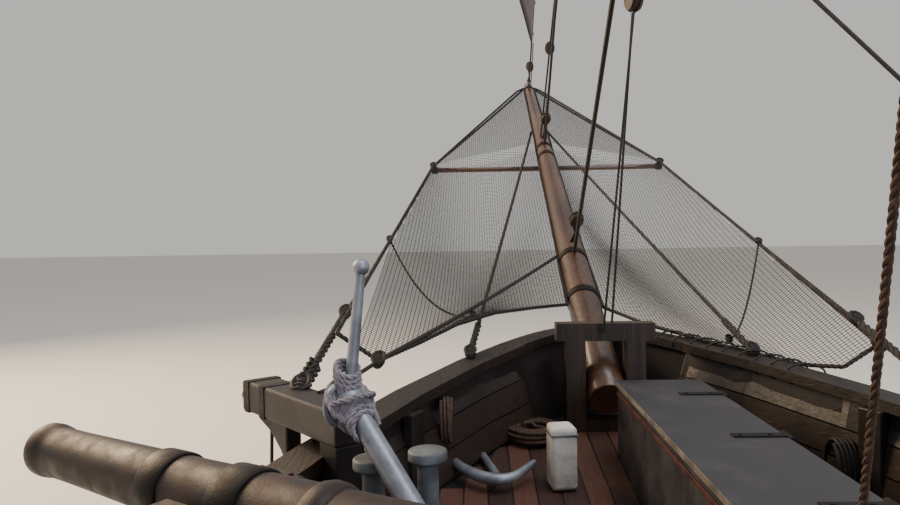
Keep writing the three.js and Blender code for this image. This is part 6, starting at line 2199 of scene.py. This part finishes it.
def makeWindlass():
    x = windlass["x"]
    z = (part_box("windlass_drum")[0][2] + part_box("windlass_drum")[1][2]) / 2
    wood, iron = newPile(), newPile()
    across = frameAlong(toPort)
    place = Vector((x, 0, z))
    for s in (-1, 1):
        rows = [(s * 0.062, 0.05), (s * 0.062, 0.128), (s * 0.12, 0.124), (s * 0.3, 0.116), (s * 0.47, 0.13),
                (s * 0.496, 0.13), (s * 0.497, 0.05)]
        addLathe(wood, rows if s > 0 else rows[::-1], place, across, 28)
        for k in range(windlass["whelps"]):
            angle = 2 * math.pi * k / windlass["whelps"] + 0.2
            out = Vector((math.cos(angle), 0, math.sin(angle)))
            turn = Matrix((out.cross(toPort), toPort, out)).transposed()
            addBox(wood, place + out * 0.128 + Vector((0, s * 0.28, 0)), (0.035, 0.4, 0.036), turn)
    gear = []
    for k in range(windlass["teeth"]):
        a = 2 * math.pi * k / windlass["teeth"]
        gear += [(r * math.cos(a + lag), r * math.sin(a + lag)) for r, lag in
                 ((windlass["tip"], 0), (windlass["root"], 0.3), (windlass["root"] + 0.004, 0.36))]
    points = [(x + u, s * 0.05, z + w) for s in (-1, 1) for u, w in gear]
    addShape(iron, points, [face[::-1] for face in prismFaces(len(gear))])
    addLathe(iron, [(-0.64, 0.03), (-0.638, 0.05), (0.638, 0.05), (0.64, 0.03)], place, across, 24)
    for s in (-1, 1):
        for y in (0.47, 0.09):
            addLathe(iron, [(s * y - 0.014, 0.131), (s * y - 0.012, 0.136), (s * y + 0.012, 0.136),
                            (s * y + 0.014, 0.131)], place, across, 28)
    makePiece("whelped_windlass", wood, darkOakY, "windlass", smooth=35, bevel=0.003,
              node="windlass_drum")
    makePiece("windlass_irons", iron, blackIron, "windlass", smooth=30)


makeWindlass()


# Fighting tops: staved tubs with hoops, a boarded floor and a moulded rim
tops = {"staves": 30, "radius": 0.735, "knees": 8, "hoops": (0.16, 0.44)}


def makeTops():
    count, r = tops["staves"], tops["radius"]
    for label, mast in masts.items():
        z = mast["platform"]
        foot = Vector((mast["x"], 0, z))
        wood, iron = newPile(), newPile()
        for k in range(count):
            a = 2 * math.pi * k / count
            out = Vector((math.cos(a), math.sin(a), 0))
            turn = Matrix((Vector((-out.y, out.x, 0)), out, up)).transposed()
            stave = (2 * math.pi * r / count - 0.004, 0.026, 0.48)
            addBox(wood, foot + up * 0.31 + out * (r - 0.01), stave, turn)
        bore = mastRadius(mast, z) + 0.012
        addLathe(wood, [(0.0, bore), (0.0, bore + 0.08), (0.055, r - 0.04), (0.06, r + 0.005), (0.105, r),
                        (0.105, bore), (0.0, bore)], foot, None, 32)
        rim = [(0.53, r - 0.045), (0.53, r + 0.022), (0.56, r + 0.015), (0.558, r - 0.04), (0.53, r - 0.045)]
        addLathe(wood, rim, foot, None, 40)
        for k in range(tops["knees"]):
            a = 2 * math.pi * (k + 0.5) / tops["knees"]
            out = Vector((math.cos(a), math.sin(a), 0))
            start = foot - up * 0.02 + out * (bore + 0.005)
            addBeam(wood, start, foot + up * 0.03 + out * (r - 0.05), 0.06, 0.05)
        for h in tops["hoops"]:
            addLathe(iron, [(h - 0.018, r + 0.002), (h - 0.016, r + 0.01), (h + 0.016, r + 0.01),
                            (h + 0.018, r + 0.002), (h - 0.018, r + 0.002)], foot, None, 40)
        makePiece("staved_top_" + label, wood, darkOakZ, smooth=30, node=label + "_top")
        makePiece("top_hoops_" + label, iron, blackIron, smooth=30)


makeTops()
print("deckhouses and deck fittings made")


# The bow's closing timbers: planking from the bulwarks' ends to the stem, capped like the rail
closing = {"x": 8.57, "reach": 0.385, "columns": 7, "stemHalf": 0.118}


def makeBowClosing():
    planks, cap = newPile(), newPile()
    columns = closing["columns"]
    for side in (1, -1):
        rows = []
        for k in range(columns + 1):
            share = k / columns
            x = closing["x"] + closing["reach"] * share
            # past the stem the rail's height goes on at the same slope
            rise = railPoint(min(x, hull["stem"])).z + 0.083 * max(x - hull["stem"], 0)
            topOut = Vector((x, max(railPoint(x).y, 0.2 - 0.09 * share), rise))
            footX = min(x, hull["stem"] - 0.005)
            footOut = Vector((footX + 0.03 * share, max(deckHalf(footX), 0.085), deckAt(footX)))
            inward = Vector((-0.35 * share, -1, 0)).normalized() * 0.066
            under = topOut - up * 0.052
            rows.append((footOut, under, under + inward, footOut + inward, topOut))
        points = [v * Vector((1, side, 1)) for row in rows for v in row[:4]]
        addShape(planks, points, sweptFaces(columns, side < 0))
        ring = []
        for row in rows:
            top = row[4]
            inward = (row[2] - row[1]).normalized()
            for out, rise in ((-0.045, -0.048), (0.111, -0.048), (0.111, 0.0), (-0.045, 0.0)):
                v = top + inward * out + up * rise
                v.y = max(v.y, closing["stemHalf"])
                ring.append(v * Vector((1, side, 1)))
        addShape(cap, ring, sweptFaces(columns, side > 0))
    makePiece("bow_closing_planks", planks, hullPaint, smooth=30)
    makePiece("bow_closing_cap", cap, railOak, smooth=30)


makeBowClosing()


# Mouldings of the stern cabin: cornice, courses, corner posts and pilasters between the windows
sternTrim = {"cornice": 0.1, "course": 0.045, "sill": 0.12, "post": 0.11,
             "pilasters": (-1.36, -0.45, 0.45, 1.36)}


def cabinSide(x, share, out=0.0):
    return Vector((x, deckHalf(x) - cabin["lean"] * share + out, deckAt(x) + cabin["tall"] * share))


def makeSternTrim():
    wood, paint = newPile(), newPile()
    stern = cabin["stern"]
    xs = list(np.linspace(cabin["front"] - 0.02, stern, 12))
    rows = ((0.99, sternTrim["cornice"], 0.05, 0.02, wood), (0.925, sternTrim["course"], 0.03, 0.012, paint),
            (0.3, sternTrim["course"], 0.03, 0.012, paint), (0.05, sternTrim["sill"], 0.04, 0.016, wood))
    for share, tall, thick, out, pile in rows:
        for s in (-1, 1):
            spots = [cabinSide(x, share, out) for x in xs]
            spots = [Vector((p.x, p.y * s, p.z)) for p in spots]
            for a, b in zip(spots[:-1], spots[1:]):
                run = (b - a).normalized() * 0.004
                addBeam(pile, a - run, b + run, thick, tall)
        end = cabinSide(stern, share, out + thick / 2)
        addBox(pile, (stern - out, 0, end.z), (thick, end.y * 2, tall))
    for s in (-1, 1):
        foot, head = cabinSide(stern, 0.0), cabinSide(stern, 1.0)
        a = Vector((stern - 0.02, foot.y * s, foot.z + 0.01))
        b = Vector((stern - 0.02, head.y * s, head.z - 0.02))
        addBeam(wood, a, b, sternTrim["post"], sternTrim["post"])
    low, high = cabinSide(stern, 0.32).z, cabinSide(stern, 0.91).z
    for y in sternTrim["pilasters"]:
        addBox(paint, (stern - 0.01, y, (low + high) / 2), (0.03, 0.09, high - low))
        for z in (high - 0.03, low + 0.03):
            addBox(paint, (stern - 0.022, y, z), (0.05, 0.13, 0.06))
    makePiece("stern_mouldings", wood, darkOakY, smooth=0, bevel=0.008)
    makePiece("stern_courses", paint, dullGold, smooth=0, bevel=0.006)


makeSternTrim()


# Deckhouse roof edging and corner posts
def makeHouseTrim():
    wood = newPile()
    middle = (house["front"] + house["aft"]) / 2
    edge = house["top"] + 0.02
    for s in (-1, 1):
        addBox(wood, (middle, s * (house["half"] + 0.085), edge), (2.4, 0.03, 0.085))
        addBox(wood, (middle + s * 1.19, 0, edge), (0.03, 1.88, 0.085))
        for x in (house["aft"], house["front"]):
            low, high = deckAt(x) + 0.02, house["top"] - 0.02
            addBox(wood, (x, s * house["half"], (low + high) / 2), (0.075, 0.075, high - low))
    makePiece("deckhouse_edging", wood, darkOakX, smooth=0, bevel=0.007)


makeHouseTrim()


# Pin rails inside the bulwarks under the shrouds, each pin with its line belayed on it
pinRails = {"spans": ((2.35, 3.15), (-3.3, -2.35)), "drop": 0.2, "pins": 6}


def makePinRails():
    wood, pins, belays = newPile(), [], []
    pin = newPile()
    addLathe(pin, [(-0.17, 0.006), (-0.165, 0.011), (-0.02, 0.013), (0.0, 0.02), (0.02, 0.016), (0.06, 0.012),
                   (0.1, 0.017), (0.14, 0.014), (0.15, 0.005)], (0, 0, 0), None, 9)
    for s in (-1, 1):
        for fore, aft in pinRails["spans"]:
            a, b = railPoint(fore), railPoint(aft)
            a = Vector((a.x, s * (a.y - 0.13), a.z - pinRails["drop"]))
            b = Vector((b.x, s * (b.y - 0.13), b.z - pinRails["drop"]))
            addBeam(wood, a, b, 0.11, 0.04)
            for n in range(pinRails["pins"]):
                spot = a.lerp(b, (n + 0.5) / pinRails["pins"]) + up * 0.03
                pins.append((spot, Matrix.Identity(3), 1.0))
                turns = [p + up * 0.0016 * k for k, p in
                         enumerate(circle(spot + up * 0.035, forward * 0.022, toPort * 0.022, 10) * 4)]
                belays.append((turns, 0.007))
    makePiece("pin_rails", wood, darkOakX, smooth=0, bevel=0.006)
    copies("belaying_pins", pin, pins, darkOakZ)
    lines("belayed_turns", belays, manilaRope, sides=5)


makePinRails()


# Lifts of the yards and the gaff's halyards; each rides on its spar and ends close to the mast
def makeLifts():
    for label, yard in yards.items():
        half, z = yard["half"] - 0.1, yard["z"]
        rows = []
        for s in (-1, 1):
            path = sagging((yardX, s * half, z + 0.05), (yardX - 0.01, s * 0.06, z + 1.25), 0.03, 12)
            rows.append((path, 0.008))
        lines(label + "_lifts", rows, tarredRope, yard["node"])
    rows = []
    for share, z in ((0.45, 12.3), (0.75, 12.7), (0.97, 13.1)):
        peak = gaffFoot.lerp(gaffEnd, share) + Vector((0.005, 0, 0.05))
        rows.append(([peak, Vector((boom["jawX"] + 0.015, 0, z))], 0.009))
    lines("gaff_halyards", rows, tarredRope, "mainsail")


makeLifts()


# Rudder irons, clear of the stern post, and the propeller with twisted blades
rudderIrons = {"heights": (-1.6, -1.1, -0.55), "bolts": (-7.98, -8.12, -8.26)}
propeller = {"x": -7.34, "z": -1.15, "reach": 0.39, "chord": 0.135, "thick": 0.02, "blades": 4}


def makeUnderwater():
    iron = newPile()
    for z in rudderIrons["heights"]:
        addBox(iron, (-8.12, 0, z), (0.44, 0.072, 0.05))
        addBox(iron, (-8.36, 0, z), (0.06, 0.066, 0.04))
        for x in rudderIrons["bolts"]:
            for s in (-1, 1):
                addLathe(iron, [(0.036, 0.014), (0.041, 0.013), (0.045, 0.006)], (x, 0, z),
                         frameAlong(Vector((0, s, 0))), 8)
    makePiece("rudder_irons", iron, blackIron, "rudder", smooth=0, bevel=0.004)
    cast = newPile()
    place = Vector((0, 0, propeller["z"]))
    addLathe(cast, [(-7.44, 0.012), (-7.435, 0.03), (-7.42, 0.044), (-7.36, 0.058), (-7.3, 0.066),
                    (-7.265, 0.068), (-7.26, 0.06), (-7.26, 0.03), (-7.04, 0.03), (-7.04, 0.01)], place,
                    frameAlong(forward), 28)
    steps, slices = 12, 9
    for blade in range(propeller["blades"]):
        turn = Matrix.Rotation(2 * math.pi * blade / propeller["blades"], 3, "X")
        points, faces = [], []
        for i in range(steps + 1):
            share = i / steps
            r = 0.045 + (propeller["reach"] - 0.045) * share
            chord = 0.075 + (propeller["chord"] - 0.075) * math.sin(share * math.pi)
            if share > 0.5:
                chord = propeller["chord"] * math.sqrt(max(1 - (2 * share - 1.0) ** 2 * 0.93, 0.0))
            pitch = math.radians(68) - math.radians(34) * share
            ring = []
            for k in range(2 * slices):
                a = 2 * math.pi * k / (2 * slices)
                u = chord * math.cos(a)
                v = propeller["thick"] * (1 - 0.6 * share) * math.sin(a) * 0.5
                # the chord lies across the shaft at the tip and nearly along it at the root
                y = u * math.cos(pitch) - v * math.sin(pitch)
                x = u * math.sin(pitch) + v * math.cos(pitch)
                ring.append(len(points))
                points.append(place + Vector((propeller["x"], 0, 0)) + turn @ Vector((x, y, r)))
            if i:
                before = ring[0] - 2 * slices
                for k in range(2 * slices):
                    j = (k + 1) % (2 * slices)
                    faces.append((before + k, before + j, ring[j], ring[k]))
        faces += [tuple(range(2 * slices)), tuple(reversed(range(len(points) - 2 * slices, len(points))))]
        addShape(cast, points, faces)
    makePiece("cast_propeller", cast, bronze, "propeller", smooth=40, node="propeller")


makeUnderwater()
